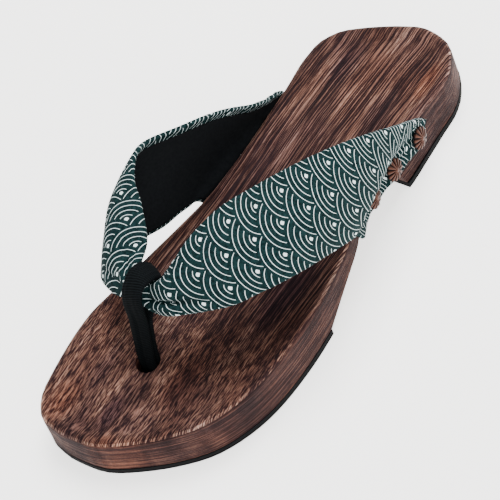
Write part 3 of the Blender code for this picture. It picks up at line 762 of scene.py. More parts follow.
def zip_cap(first, shares, split):
    """Triangles that close a flattened loop.

    The loop's first points are its outer half and the others its inner half, and both are taken from
    the front edge to the rear one. Each edge of a half makes a triangle with the point of the other
    half that the edge's middle faces.
    """
    outer = first + np.arange(split)
    inner = first + np.arange(split, len(shares))[::-1]
    outer_middles = 0.5 * (shares[:split - 1] + shares[1:split])
    back = shares[split:][::-1]
    inner_middles = 0.5 * (back[:-1] + back[1:])
    facing_inner = np.searchsorted(inner_middles, outer_middles, side="left")
    facing_outer = np.searchsorted(outer_middles, inner_middles, side="right")
    return np.concatenate([
        np.stack([outer[:-1], outer[1:], inner[facing_inner]], axis=1),
        np.stack([inner[:-1], outer[facing_outer], inner[1:]], axis=1)]).tolist()


def make_piece(name, points, faces, material, uv=None, values=None):
    """Put points and a list of faces into a new object at the origin, with UV map and point values."""
    mesh = bpy.data.meshes.new(name)
    mesh.from_pydata(points.reshape(-1, 3).tolist(), [], faces)
    if uv is not None:
        corners = np.empty(len(mesh.loops), dtype=int)
        mesh.loops.foreach_get("vertex_index", corners)
        layer = mesh.uv_layers.new(name="cloth")
        layer.data.foreach_set("uv", uv.reshape(-1, 2)[corners].astype(np.float32).ravel())
    for key, value in (values or {}).items():
        attribute = mesh.attributes.new(key, "FLOAT", "POINT")
        attribute.data.foreach_set("value", np.asarray(value, dtype=np.float32).ravel())
    mesh.validate()
    mesh.shade_smooth()
    mesh.materials.append(material)
    piece = bpy.data.objects.new(name, mesh)
    bpy.context.scene.collection.objects.link(piece)
    return piece


def add_wave_rows(tree, uv, settings):
    """Nodes for the wave print's ink, from 0 to 1.

    Discs lie in rows, each row shifted by half a step, and each row covers the rows behind it. A
    point belongs to the front-most disc that holds it, and has ink where it is close to one of the
    disc's even rings or inside its dot. A wave is wider than it is high, so what a radius measures
    on the cloth depends on its direction, and lines and dots are measured on the cloth.
    """
    parts = add_node(tree, "ShaderNodeSeparateXYZ", inputs={0: uv})
    found = {
        "x": parts.outputs[0],
        "y": parts.outputs[1],
        "ink": 0.0,
        "cover": settings.wave_cover,
        "step": settings.wave_step,
        "ring_step": settings.wave_ring,
        "ring_count": RING_COUNT,
        "print_wide": PRINT_WIDE,
        "print_high": PRINT_HIGH,
        "upright_scale": PRINT_HIGH ** -2,
        "level_scale_change": PRINT_WIDE ** -2 - PRINT_HIGH ** -2,
        "line_reach": 0.5 * settings.wave_line + INK_BLUR,
        "dot_reach": settings.wave_dot + INK_BLUR,
        "blur": 2.0 * INK_BLUR,
    }
    add_sums(tree, found, WAVE_START_SUMS)
    for row in (3.0, 2.0, 1.0):
        found["row"] = row
        add_sums(tree, found, WAVE_ROW_SUMS)
    return found["ink"]


def make_print_material(settings):
    """Printed cotton, plain weave: flat off-white ink on dark teal, dull, with a faint thread texture.

    Its threads are about 0.3 mm apart and too fine to show, so the noises are about 1 mm wide.
    """
    made, tree, shader = new_material("printed cotton, plain weave")
    uv = add_node(tree, "ShaderNodeUVMap", {"uv_map": "cloth"})
    ink = add_wave_rows(tree, uv, settings)
    place = add_node(tree, "ShaderNodeTexCoord").outputs["Object"]
    patch = add_node(tree, "ShaderNodeTexNoise", inputs={"Vector": place, "Scale": 800.0, "Detail": 2.0})
    ground = add_node(tree, "ShaderNodeValToRGB", {
        "stops": [(0.3, settings.cloth_dark), (0.7, settings.cloth)]}, {0: patch})
    thread = add_node(tree, "ShaderNodeTexNoise", inputs={"Vector": place, "Scale": 1400.0, "Detail": 2.0})
    inked = add_node(tree, "ShaderNodeValToRGB", {
        "stops": [(0.25, settings.ink_thin), (0.6, settings.ink)]}, {0: thread})
    mix = add_node(tree, "ShaderNodeMix", {"data_type": "RGBA"}, {"Factor": ink, 6: ground, 7: inked})
    bump = add_node(tree, "ShaderNodeBump", inputs={"Strength": 0.25, "Distance": 0.0002, "Height": thread})
    set_inputs(shader, {"Base Color": mix.outputs[2], "Roughness": 0.88, "Specular IOR Level": 0.05,
                        "Normal": bump})
    return made


def make_lining_material(settings):
    """Black brushed cotton: very dull, with a faint nap that catches a little light at its edges.

    A nap's tufts are finer than 0.5 mm. They are drawn 1.4 mm wide so that they show.
    """
    made, tree, shader = new_material("black brushed cotton")
    place = add_node(tree, "ShaderNodeTexCoord").outputs["Object"]
    nap = add_node(tree, "ShaderNodeTexNoise", inputs={"Vector": place, "Scale": 700.0, "Detail": 4.0})
    tone = add_node(tree, "ShaderNodeValToRGB", {
        "stops": [(0.3, settings.lining), (0.8, settings.lining_nap)]}, {0: nap})
    bump = add_node(tree, "ShaderNodeBump", inputs={"Strength": 0.3, "Distance": 0.0002, "Height": nap})
    set_inputs(shader, {"Base Color": tone, "Roughness": 0.95, "Specular IOR Level": 0.1, "Normal": bump})
    return made


def make_post_material(settings):
    """Black ribbed twill: fine slanting ribs, drawn 0.9 mm apart so that they show.

    The UV map is in millimetres, and a wave's bands lie a tenth of pi apart at a scale of 1.
    """
    made, tree, shader = new_material("black ribbed twill")
    uv = add_node(tree, "ShaderNodeUVMap", {"uv_map": "cloth"})
    turned = add_node(tree, "ShaderNodeMapping", inputs={0: uv, "Rotation": (0.0, 0.0, RIB_TURN)})
    ribs = add_node(tree, "ShaderNodeTexWave", inputs={
        0: turned, "Scale": np.pi / (10.0 * 1000.0 * settings.rib_pitch), "Distortion": 0.6, "Detail": 1.0})
    tone = add_node(tree, "ShaderNodeValToRGB", {
        "stops": [(0.1, settings.post_dark), (0.9, settings.post_light)]}, {0: ribs})
    bump = add_node(tree, "ShaderNodeBump", inputs={"Strength": 0.7, "Distance": 0.0003, "Height": ribs})
    set_inputs(shader, {"Base Color": tone, "Roughness": 0.9, "Specular IOR Level": 0.05, "Normal": bump})
    return made


def make_copper_material(settings):
    """Antique copper: polished ridges, with dark brown patina left in the flutes.

    The patina's spots are about 1 mm wide.
    """
    made, tree, shader = new_material("antique copper")
    depth = add_node(tree, "ShaderNodeAttribute", {"attribute_name": "flute"}).outputs["Fac"]
    place = add_node(tree, "ShaderNodeTexCoord").outputs["Object"]
    spots = add_node(tree, "ShaderNodeTexNoise", inputs={"Vector": place, "Scale": 900.0, "Detail": 3.0})
    worn = add_node(tree, "ShaderNodeMath", {"operation": "MULTIPLY_ADD"}, {0: spots, 1: 0.35, 2: depth})
    tone = add_node(tree, "ShaderNodeValToRGB", {"stops": [
        (0.30, settings.copper), (0.55, settings.copper_mid), (0.85, settings.copper_dark)]}, {0: worn})
    rough = add_node(tree, "ShaderNodeMapRange", inputs={"Value": worn, "To Min": 0.30, "To Max": 0.62})
    set_inputs(shader, {"Base Color": tone, "Roughness": rough, "Metallic": 0.9})
    return made


def make_rubber_material(settings):
    """Black sheet rubber, cut: matt, with a faint speckle from the cut, under 1 mm wide."""
    made, tree, shader = new_material("black sheet rubber")
    place = add_node(tree, "ShaderNodeTexCoord").outputs["Object"]
    speck = add_node(tree, "ShaderNodeTexNoise", inputs={"Vector": place, "Scale": 1200.0, "Detail": 3.0})
    tone = add_node(tree, "ShaderNodeValToRGB", {
        "stops": [(0.35, settings.rubber), (0.75, settings.rubber_worn)]}, {0: speck})
    bump = add_node(tree, "ShaderNodeBump", inputs={"Strength": 0.4, "Distance": 0.0003, "Height": speck})
    set_inputs(shader, {"Base Color": tone, "Roughness": 0.75, "Specular IOR Level": 0.06, "Normal": bump})
    return made


def make_wood_material(settings):
    """Charred and brushed paulownia.

    Fire burns the soft grain dark purple brown and the brush lays the hard grain bare as raised tan
    lines: long ones over the footbed and short ones at the toe, where the board is cut across them.
    The walls show the grain as level lines. The rounded edge is painted lighter: wear and a painted
    highlight.
    """
    made, tree, shader = new_material("charred and brushed paulownia")
    place = add_node(tree, "ShaderNodeTexCoord").outputs["Object"]
    drift = add_node(tree, "ShaderNodeTexNoise", inputs={"Vector": place, "Scale": 14.0, "Detail": 2.0})
    bent = add_node(tree, "ShaderNodeVectorMath", {"operation": "MULTIPLY_ADD"},
                    {0: drift.outputs["Color"], 1: (GRAIN_DRIFT, 0.0, 0.0), 2: place})
    parts = add_node(tree, "ShaderNodeSeparateXYZ", inputs={0: place})
    normal = add_node(tree, "ShaderNodeNewGeometry").outputs["Normal"]
    facing = add_node(tree, "ShaderNodeSeparateXYZ", inputs={0: normal})
    found = {"place": place, "bent": bent, "y": parts.outputs[1], "facing": facing.outputs[2],
             # The edge's lightening is partly wear and partly a painted highlight
             "wall_char": settings.wall_char, "edge_wear": settings.edge_wear}
    for name, space, scale, detail, rough in WOOD_NOISES:
        mapped = add_node(tree, "ShaderNodeMapping", inputs={0: found[space], "Scale": scale})
        found[name] = add_node(tree, "ShaderNodeTexNoise", inputs={
            "Vector": mapped, "Scale": 1.0, "Detail": detail, "Roughness": rough})
    add_sums(tree, found, WOOD_SUMS)
    # Each patch changes the wood's tone; the last one paints the outer strap's shadow into it
    for x, y, half_x, half_y, turn, tone_change, warmth_change in WOOD_PATCHES_AND_SHADOW:
        mapped = add_node(tree, "ShaderNodeMapping", {"vector_type": "TEXTURE"}, {
            0: bent, "Location": (x, y, 0.0), "Rotation": (0.0, 0.0, np.radians(turn)),
            "Scale": (half_x, half_y, 1.0)})
        away = add_node(tree, "ShaderNodeVectorMath", {"operation": "LENGTH"}, {0: mapped})
        found.update(away=away.outputs["Value"], tone_change=tone_change, warmth_change=warmth_change)
        add_sums(tree, found, WOOD_PATCH_SUMS)
    add_sums(tree, found, WOOD_END_SUMS)

    colour = add_node(tree, "ShaderNodeValToRGB", {"stops": [
        (0.22, settings.char), (0.40, settings.wood_dark), (0.56, settings.wood),
        (0.74, settings.wood_light), (0.95, settings.wood_pale)]}, {0: found["tone"]})
    tint = add_node(tree, "ShaderNodeValToRGB", {"stops": [
        (0.0, settings.cool_tint), (0.5, "#ffffff"), (1.0, settings.warm_tint)]}, {0: found["tint_place"]})
    tinted = add_node(tree, "ShaderNodeMix", {"data_type": "RGBA", "blend_type": "MULTIPLY"},
                      {0: 1.0, 6: colour, 7: tint})
    bump = add_node(tree, "ShaderNodeBump", inputs={"Strength": 0.8, "Distance": 0.0005,
                                                    "Height": found["relief"]})
    set_inputs(shader, {"Base Color": tinted.outputs[2], "Roughness": found["roughness"],
                        "Specular IOR Level": 0.08, "Normal": bump})
    return made


class StrapSettings(bpy.types.PropertyGroup):
    """Sizes and colours of the strap."""

    hem: FloatProperty(name="Rear hem", description="Width of the print folded over the rear edge",
                       default=0.0026, min=0.001, max=0.006, unit="LENGTH")
    front_hem: FloatProperty(name="Front hem", description="Width of the print folded over the front edge",
                             default=0.0004, min=0.0002, max=0.006, unit="LENGTH")
    recess: FloatProperty(name="Lining recess", description="How deep the lining lies under the hem",
                          default=0.0006, min=0.0, max=0.001, unit="LENGTH")
    gather_depth: FloatProperty(name="Gather depth", description="Height of the pleats at the neck",
                                default=0.00026, min=0.0, max=0.002, unit="LENGTH")
    pucker_depth: FloatProperty(name="Pucker depth", description="Height of the folds at the nails",
                                default=0.00060, min=0.0, max=0.002, unit="LENGTH")
    pucker_reach: FloatProperty(name="Pucker reach", description="How far the folds at a nail run",
                                default=0.0050, min=0.001, max=0.02, unit="LENGTH")
    pucker_count: IntProperty(name="Puckers", description="Folds around one nail", default=11, min=5, max=20)
    scallop: FloatProperty(name="Scallop", description="How much the end rises between nails",
                           default=0.08, min=0.0, max=0.5)
    wave_step: FloatProperty(name="Row step", description="Step between rows of waves, in radii",
                             default=0.775, min=0.4, max=1.2)
    wave_cover: FloatProperty(name="Cover", description="How far a wave covers those behind, in radii",
                              default=1.22, min=0.9, max=1.4)
    wave_ring: FloatProperty(name="Ring step", description="Step between a wave's lines, in radii",
                             default=0.262, min=0.1, max=0.5)
    wave_line: FloatProperty(name="Line", description="Width of a wave's lines",
                             default=0.00025, min=0.0001, max=0.002, unit="LENGTH")
    wave_dot: FloatProperty(name="Dot", description="Radius of the dot in a wave",
                            default=0.00125, min=0.0003, max=0.003, unit="LENGTH")
    cloth: StringProperty(name="Cloth", description="Teal ground of the print", default="#183031")
    cloth_dark: StringProperty(name="Cloth, dark", description="Darker patches of the ground",
                               default="#071718")
    ink: StringProperty(name="Ink", description="Off-white lines of the print", default="#f2ffff")
    ink_thin: StringProperty(name="Ink, thin", description="Ink where the threads show through",
                             default="#e2f6f6")
    lining: StringProperty(name="Lining", description="Black of the lining", default="#101215")
    lining_nap: StringProperty(name="Lining nap", description="Grey of the lining's nap", default="#181b1d")


class PostSettings(bpy.types.PropertyGroup):
    """Sizes and colours of the toe post."""

    width: FloatProperty(name="Width", description="Usual width of the post's band", default=0.0102,
                         min=0.005, max=0.02, unit="LENGTH")
    thickness: FloatProperty(name="Thickness", description="Thickness of the post's band",
                             default=0.0036, min=0.001, max=0.008, unit="LENGTH")
    seam_depth: FloatProperty(name="Seam depth", description="Depth of the seam down the front leg",
                              default=0.0011, min=0.0, max=0.002, unit="LENGTH")
    rib_pitch: FloatProperty(name="Rib pitch", description="Distance between the cloth's ribs",
                             default=0.0009, min=0.0003, max=0.003, unit="LENGTH")
    post_dark: StringProperty(name="Post, dark", description="Black between the ribs", default="#040506")
    post_light: StringProperty(name="Post, light", description="Black on the ribs", default="#101416")


class NailSettings(bpy.types.PropertyGroup):
    """Sizes and colours of the nails."""

    head_radius: FloatProperty(name="Head radius", description="Radius of a nail's head", default=0.0058,
                               min=0.002, max=0.01, unit="LENGTH")
    head_height: FloatProperty(name="Head height", description="Height of a nail's head", default=0.0019,
                               min=0.0005, max=0.005, unit="LENGTH")
    petals: IntProperty(name="Petals", description="Petals around a nail's head", default=12, min=6, max=24)
    flute_depth: FloatProperty(name="Flute depth", description="Depth of the flutes between petals",
                               default=0.00055, min=0.0, max=0.001, unit="LENGTH")
    copper: StringProperty(name="Copper", description="Polished ridges", default="#53352b")
    copper_mid: StringProperty(name="Copper, mid", description="Brown of the petals", default="#311d18")
    copper_dark: StringProperty(name="Copper, dark", description="Patina in the flutes", default="#0c0707")


class BaseSettings(bpy.types.PropertyGroup):
    """Colours of the wood and the rubber."""

    # The rounded edge's lightening is partly wear and partly a painted highlight
    edge_wear: FloatProperty(name="Edge wear and highlight", description="How much lighter the rounded edge is",
                             default=0.15, min=0.0, max=1.0)
    wall_char: FloatProperty(name="Wall char", description="How much darker the walls are",
                             default=0.02, min=0.0, max=1.0)
    char: StringProperty(name="Char", description="Burnt soft grain", default="#1b1012")
    wood_dark: StringProperty(name="Wood, dark", description="Purple brown grain", default="#301e1f")
    wood: StringProperty(name="Wood", description="Middle brown grain", default="#50352f")
    wood_light: StringProperty(name="Wood, light", description="Copper brown grain", default="#7f5b4d")
    wood_pale: StringProperty(name="Wood, pale", description="Worn hard grain", default="#c19e8b")
    cool_tint: StringProperty(name="Cool tint", description="Cast of the burnt patches", default="#dcdaf2")
    warm_tint: StringProperty(name="Warm tint", description="Cast of the bare patches", default="#ffe2d3")
    rubber: StringProperty(name="Rubber", description="Black of the rubber", default="#040405")
    rubber_worn: StringProperty(name="Rubber, worn", description="Grey of the cut", default="#0d0e11")


class StageSettings(bpy.types.PropertyGroup):
    """Floor and light."""

    floor_colour: StringProperty(name="Floor", description="Pale floor", default="#f6f5f3")
    floor_glow: FloatProperty(name="Floor glow", description="Light that the floor gives by itself",
                              default=2.0, min=0.0)
    key_power: FloatProperty(name="Key light", description="Power of the large soft light", default=34.0,
                             min=0.0, unit="POWER")
    fill_power: FloatProperty(name="Fill light", description="Power of the fill light", default=9.0,
                              min=0.0, unit="POWER")
    sky: FloatProperty(name="Sky", description="Strength of the even light from all round", default=0.62,
                       min=0.0)


def back_shares(front_share, rear_share):
    """Shares across of the points behind the strap: rear hem, floor between the hems, front hem."""
    first = 1.0 - rear_share * HEM_OVERLAP
    last = front_share * HEM_OVERLAP
    return np.concatenate([1.0 - rear_share * HEM_STEPS, first, first + (last - first) * FLOOR_STEPS,
                           last, front_share * HEM_STEPS[::-1]], axis=1)


def round_edge(middle, normal, out, half, lift, turns):
    """A half circle round one edge of the strap. The face's lift fades to a fifth at its back."""
    rise = np.cos(turns)[None, :, None]
    reach = np.sin(turns)[None, :, None] * half[:, None, None]
    level = rise * half[:, None, None] + lift[:, None] * (0.2 + 0.4 * (1.0 + rise))
    return middle[:, None] + out[:, None] * reach + normal[:, None] * level


def cross_loops(middle, normal, side, half, face_lift, back, recess):
    """Closed loops around the strap.

    Each loop goes over the outer face, round the rear edge in a half circle, over the rear hem,
    along the sunk floor under the lining, over the front hem and round the front edge.
    """
    sunk = recess * np.repeat([0.0, 1.0, 0.0], [len(HEM_STEPS), len(FLOOR_STEPS) + 2, len(HEM_STEPS)])
    thick = half[:, None, None]
    lift = face_lift[..., None]
    deep = thick - sunk[None, :, None] * (thick > recess) - LIFT_BEHIND * interpolate_across(lift, back)
    return np.concatenate([
        middle + normal * (thick + lift),
        round_edge(middle[:, -1], normal[:, -1], side[:, -1], half, lift[:, -1], EDGE_TURNS),
        interpolate_across(middle, back) - interpolate_across(normal, back) * deep,
        round_edge(middle[:, 0], normal[:, 0], -side[:, 0], half, lift[:, 0], EDGE_TURNS[::-1])], axis=1)


def flat_loops(flat, back, width):
    """Where the loops lie on the flat cloth: the arcs and what lies behind go on past the edges."""
    side = unit(np.gradient(flat, axis=1))
    rear, rear_out = flat[:, -1, None], side[:, -1, None]
    front, front_out = flat[:, 0, None], -side[:, 0, None]
    radius = 0.5 * STRAP_THICKNESS
    arc = radius * EDGE_TURNS[None, :, None]
    past_rear = rear + rear_out * (np.pi * radius + ((1.0 - back) * width)[..., None])
    past_front = front + front_out * (np.pi * radius + (back * width)[..., None])
    behind = np.where(back[..., None] > 0.5, past_rear, past_front)
    return np.concatenate([flat, rear + rear_out * arc, behind, front + front_out * arc[:, ::-1]], axis=1)


def close_and_turn(piece, distance):
    """Merge points that coincide and turn the faces outwards."""
    work = bmesh.new()
    work.from_mesh(piece.data)
    bmesh.ops.remove_doubles(work, verts=work.verts, dist=distance)
    bmesh.ops.dissolve_degenerate(work, edges=work.edges, dist=distance * 0.1)
    bmesh.ops.recalc_face_normals(work, faces=work.faces)
    work.to_mesh(piece.data)
    work.free()
    piece.data.update()


def close_ends(piece, loops):
    """Close open end loops with triangles and turn the faces outwards."""
    work = bmesh.new()
    work.from_mesh(piece.data)
    work.verts.ensure_lookup_table()
    caps = [work.faces.new([work.verts[i] for i in loop]) for loop in loops]
    bmesh.ops.triangulate(work, faces=caps, ngon_method="EAR_CLIP")
    bmesh.ops.recalc_face_normals(work, faces=work.faces)
    work.to_mesh(piece.data)
    work.free()


class GETA_OT_strap(bpy.types.Operator):
    """Make the printed strap and its black lining."""

    bl_idname = "geta.strap"
    bl_label = "Strap"

    ALONG = 340
    ACROSS = 56
    COARSE = (76, 12)

    def execute(self, context):
        settings = context.scene.geta_strap
        walls = Walls()
        seats = nail_seats()
        face, run = strap_face(walls, seats, self.ALONG, self.ACROSS, settings.scallop)
        coarse, _ = strap_face(walls, seats, *self.COARSE, settings.scallop)
        flat = refine(lay_flat(coarse), face.shape[:2])
        normal = surface_normals(face)
        from_end = np.minimum(run - run[0], run[-1] - run)
        lift = self.face_lift(face, normal, run, from_end, seats, settings)
        closing = np.clip(from_end / (0.5 * STRAP_THICKNESS), 0.06, 1.0)
        half = 0.5 * STRAP_THICKNESS * np.sqrt(1.0 - (1.0 - closing) ** 2)
        middle = face - normal * (0.5 * STRAP_THICKNESS)
        width = np.linalg.norm(np.diff(face, axis=1), axis=2).sum(axis=1)[:, None]
        front_share = settings.front_hem / width
        rear_share = settings.hem / width
        back = back_shares(front_share, rear_share)
        side = unit(np.gradient(face, axis=1))
        loops = cross_loops(middle, normal, side, half, lift, back, settings.recess)
        self.make_print(settings, loops, flat_loops(flat, back, width), back, run)

        keep = from_end > LINING_STOPS
        self.make_lining(settings, middle[keep], normal[keep], half[keep], lift[keep],
                         front_share[keep] * HEM_OVERLAP, 1.0 - rear_share[keep] * HEM_OVERLAP)
        return {"FINISHED"}

    def face_lift(self, face, normal, run, from_end, seats, settings):
        """How far the outer face stands proud: creases and pleats, then the folds at the nails."""
        across = np.linspace(0.0, 1.0, self.ACROSS + 1)[None, :]
        lift = crease_height(run[:, None], across)
        lift = lift + gather_height(run[:, None], across, settings.gather_depth)
        lift = lift * ease(0.0, END_CALM, from_end)[:, None]
        lift = lift + pucker_height(face, normal, seats, settings)
        return lift * ease(0.0, END_FLAT, from_end)[:, None]

    def make_print(self, settings, loops, flat, back, run):
        """The printed strap: a closed tube of loops, with both ends zipped up."""
        rows, count = loops.shape[:2]
        split = self.ACROSS + 1
        even = np.broadcast_to(np.linspace(0.0, 1.0, split), (rows, split))
        ends = np.ones((rows, len(EDGE_TURNS)))
        shares = np.concatenate([even, ends, back, 0.0 * ends], axis=1)
        flat[..., 1] -= fold_shift(run[:, None], shares)
        lay = print_lay(flat, run[:, None])
        lay[..., 1] *= PRINT_STRETCH
        faces = (tube_faces(rows, count) + zip_cap(0, shares[0], split)
                 + zip_cap((rows - 1) * count, shares[-1], split))
        piece = make_piece("strap_print", loops, faces, make_print_material(settings), uv=lay)
        close_and_turn(piece, 0.000001)
        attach(piece, "root")
        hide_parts("strap_upper")

    def make_lining(self, settings, middle, normal, half, lift, first, last):
        """The lining: a thin closed pad in the recess between the two hems."""
        t = np.linspace(0.0, 1.0, LINING_ACROSS)
        share = first + (last - first) * t[None, :]
        base = interpolate_across(middle, share)
        out = interpolate_across(normal, share)
        move = LIFT_BEHIND * interpolate_across(lift[..., None], share)
        pad = LINING_PAD * (1.0 - (2.0 * t - 1.0) ** 8)
        top = base - out * (half[:, None, None] - LINING_FACES[0] + pad[None, :, None] - move)
        low = base - out * (half[:, None, None] - LINING_FACES[1] - move)
        loops = np.concatenate([top, low[:, ::-1]], axis=1)
        rows, count = loops.shape[:2]
        faces = tube_faces(rows, count) + cap_faces(0, count) + cap_faces((rows - 1) * count, count)
        piece = make_piece("strap_lining", loops, faces, make_lining_material(settings))
        close_and_turn(piece, 0.000002)
        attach(piece, "root")


class GETA_OT_post(bpy.types.Operator):
    """Make the toe post: one ribbed band from the hole, around the neck and back."""

    bl_idname = "geta.post"
    bl_label = "Toe post"

    ALONG = 220
    AROUND = 48
    PATH_POINTS = 30
    WRINKLE_HEIGHT = 0.00022

    def execute(self, context):
        settings = context.scene.geta_post
        path, run = self.path()
        share = run / run[-1]
        loops, across = self.loops(settings, path, share)
        flat_x = np.broadcast_to(0.5 * settings.width * across, loops.shape[:2])
        flat_y = np.broadcast_to(run[:, None], loops.shape[:2])
        millimetres = 1000.0 * np.stack([flat_x, flat_y], axis=2)
        piece = make_piece("toe_post_cloth", loops, tube_faces(self.ALONG + 1, self.AROUND),
                           make_post_material(settings), uv=millimetres)
        last = self.ALONG * self.AROUND
        close_ends(piece, [range(self.AROUND), range(last, last + self.AROUND)])
        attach(piece, "root")
        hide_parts("toe_post")
        return {"FINISHED"}

    def path(self):
        """Even points on the post's path, as Y, Z and share of the usual width, and their run."""
        rows = [(NECK.y + FOOT_Y + NECK.z * forward, NECK.z * (1.0 + up), width)
                for forward, up, width in POST_PATH]
        fine = through(rows, np.linspace(0.0, len(rows) - 1.0, self.PATH_POINTS * len(rows)))
        run = np.concatenate([[0.0], np.cumsum(np.linalg.norm(np.diff(fine[:, :2], axis=0), axis=1))])
        wanted = np.linspace(0.0, run[-1], self.ALONG + 1)
        return np.stack([np.interp(wanted, run, fine[:, k]) for k in range(3)], axis=1), wanted

    def loops(self, settings, path, share):
        """Loops around the band, and the place of each of their points across it, from -1 to 1.

        The section is a rounded oblong: a circle whose cosine and sine are raised to a power below 1.
        A bell-shaped seam sinks into the front leg, and shallow cosines wrinkle the bend.
        """
        along = unit(np.gradient(path[:, :2], axis=0))
        normal = np.stack([-along[:, 1], along[:, 0]], axis=1)
        reach = np.clip((path[:, 1] / NECK.z - 0.4) / 0.6, 0.0, 1.0)
        centre = (POST_HOLE_X + FOOT_X + (NECK.x - POST_HOLE_X) * reach)[:, None]
        angle = np.linspace(0.0, 2.0 * np.pi, self.AROUND, endpoint=False)
        across = np.sign(np.cos(angle)) * np.abs(np.cos(angle)) ** 0.7
        deep = np.sign(np.sin(angle)) * np.abs(np.sin(angle)) ** 0.75
        outer_face = np.clip(np.sin(angle), 0.0, 1.0) ** 0.5
        yaw = POST_YAW * ease(0.34, 0.50, share) * (1.0 - ease(0.64, 0.78, share))
        seam = settings.seam_depth * (1.0 - ease(0.26, 0.44, share))[:, None] * hump(across, 0.13)[None, :]
        wrinkle = self.WRINKLE_HEIGHT * hump(share - 0.48, 0.12)[:, None] * np.cos(
            2.0 * np.pi * (2.6 * across[None, :] + 5.0 * share[:, None]))
        out = 0.5 * settings.thickness * deep[None, :] + (wrinkle - seam) * outer_face[None, :]
        x = centre + 0.5 * settings.width * path[:, 2:] * across
        y = path[:, 0:1] + normal[:, 0:1] * out - yaw[:, None] * (x - centre)
        z = path[:, 1:2] + normal[:, 1:2] * out
        return np.stack([x, y, z], axis=2), across


class GETA_OT_nails(bpy.types.Operator):
    """Make the copper nails with fluted heads."""

    bl_idname = "geta.nails"
    bl_label = "Nails"

    AROUND = 144
    BOSS_HEIGHT = 0.00022

    def execute(self, context):
        settings = context.scene.geta_nails
        material = make_copper_material(settings)
        for name, place, axis in nail_seats():
            side = unit(np.cross(axis, [0.0, 0.0, 1.0]))
            up = np.cross(side, axis)
            local, flute = self.head(settings)
            points = place + local[..., 0:1] * side + local[..., 1:2] * up + local[..., 2:3] * axis
            rows, count = points.shape[:2]
            piece = make_piece("copper_" + name, points, tube_faces(rows, count), material,
                               values={"flute": flute})
            close_and_turn(piece, 0.0000005)
            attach(piece, "root")
            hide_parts(name)
        return {"FINISHED"}

    def head(self, settings):
        """Rings from the shank's end to the top of the head, and how deep in a flute each point is.

        The dome falls with the radius to the power 2.2. Each petal is a hump in the angle, and the
        flutes between petals grow from the boss in the middle and are shallower at the rim.
        """
        angle = np.linspace(0.0, 2.0 * np.pi, self.AROUND, endpoint=False)
        between_petals = 1.0 - np.abs(np.cos(0.5 * settings.petals * angle)) ** 0.8
        rim = np.array(NAIL_RIM)
        share = np.concatenate([rim[:, 0], NAIL_DOME])[:, None]
        level = np.concatenate([rim[:, 1], 0.30 + 0.70 * (1.0 - NAIL_DOME ** 2.2)])[:, None]
        depth = settings.flute_depth * ease(0.10, 0.34, share) * (1.0 - 0.35 * ease(0.8, 1.0, share))
        boss = self.BOSS_HEIGHT * (1.0 - ease(0.10, 0.17, share))
        radius = settings.head_radius * share * (1.0 - 0.055 * ease(0.4, 1.0, share) * between_petals)
        height = level * settings.head_height - depth * between_petals * (level > 0.0) + boss
        shank = np.array(NAIL_SHANK)[:, :, None] * np.ones_like(angle)
        radius = np.concatenate([shank[:, 0], radius])
        height = np.concatenate([shank[:, 1], height])
        flute = between_petals * ease(0.12, 0.4, share) + 0.35 * ease(0.9, 1.0, share)
        flute = np.concatenate([np.ones((len(shank), self.AROUND)), flute])
        return np.stack([radius * np.cos(angle), radius * np.sin(angle), height], axis=2), flute


class GETA_OT_base(bpy.types.Operator):
    """Give the wooden base and the rubber sheets their materials."""

    bl_idname = "geta.base"
    bl_label = "Base and rubber"

    def execute(self, context):
        settings = context.scene.geta_base
        wood = make_wood_material(settings)
        rubber = make_rubber_material(settings)
        for name, material in (("wooden_base", wood), ("front_rubber_sole", rubber),
                               ("heel_rubber_sole", rubber)):
            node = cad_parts[name]
            node.data.materials.clear()
            node.data.materials.append(material)
        return {"FINISHED"}


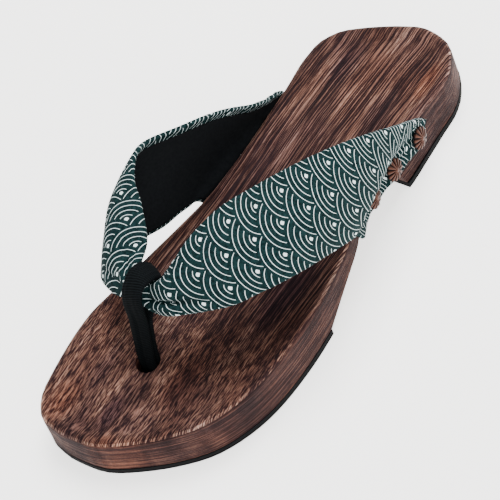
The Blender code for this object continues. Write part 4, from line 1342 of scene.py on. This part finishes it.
class GETA_OT_stage(bpy.types.Operator):
    """Make the pale floor, the soft lights and the camera."""

    bl_idname = "geta.stage"
    bl_label = "Stage"

    def execute(self, context):
        settings = context.scene.geta_stage
        self.make_floor(settings)
        self.make_lights(settings)
        self.make_camera(context)
        return {"FINISHED"}

    def make_floor(self, settings):
        """A flat pale floor under the rubber. It glows a little, like paper on a light table."""
        reach = 3.0
        corners = np.array([(-reach, -reach), (reach, -reach), (reach, reach), (-reach, reach)])
        corners = np.insert(corners, 2, -FLOOR_DROP, axis=1)
        made, _, shader = new_material("pale studio paper")
        colour = linear(settings.floor_colour)
        set_inputs(shader, {"Base Color": colour, "Roughness": 0.9, "Specular IOR Level": 0.1,
                            "Emission Color": colour, "Emission Strength": settings.floor_glow})
        floor = make_piece("studio_floor", corners, [(0, 1, 2, 3)], made)

    def make_lights(self, settings):
        """One large soft light over the heel, a fill from the camera's side and an even sky."""
        lights = (("key_light", settings.key_power, 0.8, Vector((-0.12, 0.55, 1.25))),
                  ("fill_light", settings.fill_power, 0.8, Vector((0.85, -0.65, 0.85))))
        for name, power, size, place in lights:
            data = bpy.data.lights.new(name, "AREA")
            data.energy = power
            data.size = size
            lamp = bpy.data.objects.new(name, data)
            lamp.location = place
            lamp.rotation_euler = (-place).to_track_quat("-Z", "Y").to_euler()
            bpy.context.scene.collection.objects.link(lamp)
        world = bpy.data.worlds.new("studio sky")
        world.use_nodes = True
        back = world.node_tree.nodes["Background"]
        back.inputs["Color"].default_value = linear("#ffffff")
        back.inputs["Strength"].default_value = settings.sky
        bpy.context.scene.world = world

    def make_camera(self, context):
        """The photograph's camera: from its place to its target, then rolled about its own axis."""
        data = bpy.data.cameras.new("photo_camera")
        data.sensor_width = SENSOR_WIDTH_MM
        data.lens = FOCAL_PIXELS * SENSOR_WIDTH_MM / IMAGE_WIDTH
        data.clip_start = 0.01
        camera = bpy.data.objects.new("photo_camera", data)
        look = (CAMERA_TARGET - CAMERA_PLACE).to_track_quat("-Z", "Y").to_matrix()
        roll = Matrix.Rotation(np.radians(CAMERA_ROLL), 3, "Z")
        camera.matrix_world = Matrix.Translation(CAMERA_PLACE) @ (look @ roll).to_4x4()
        context.scene.collection.objects.link(camera)
        context.scene.camera = camera


class GETA_PT_looks(bpy.types.Panel):
    """Lists the sandal's settings and its makers."""

    bl_label = "Geta looks"
    bl_space_type = "VIEW_3D"
    bl_region_type = "UI"
    bl_category = "Geta"

    def draw(self, context):
        for operator, name, group in MAKERS:
            box = self.layout.box()
            box.operator(operator.bl_idname)
            for key in group.__annotations__:
                box.prop(getattr(context.scene, name), key)


# Operators in the order they run, where the scene keeps their settings, and the settings
MAKERS = (
    (GETA_OT_stage, "geta_stage", StageSettings),
    (GETA_OT_base, "geta_base", BaseSettings),
    (GETA_OT_strap, "geta_strap", StrapSettings),
    (GETA_OT_post, "geta_post", PostSettings),
    (GETA_OT_nails, "geta_nails", NailSettings),
)


def register():
    """Register the settings, the operators and the panel."""
    for operator, name, group in MAKERS:
        bpy.utils.register_class(group)
        setattr(bpy.types.Scene, name, PointerProperty(type=group))
        bpy.utils.register_class(operator)
    bpy.utils.register_class(GETA_PT_looks)


def unregister():
    """Take back what register added."""
    bpy.utils.unregister_class(GETA_PT_looks)
    for operator, name, group in reversed(MAKERS):
        bpy.utils.unregister_class(operator)
        delattr(bpy.types.Scene, name)
        bpy.utils.unregister_class(group)


def main():
    """Make every piece."""
    register()
    bpy.ops.geta.stage()
    bpy.ops.geta.base()
    bpy.ops.geta.strap()
    bpy.ops.geta.post()
    bpy.ops.geta.nails()


if __name__ == "__main__":
    main()
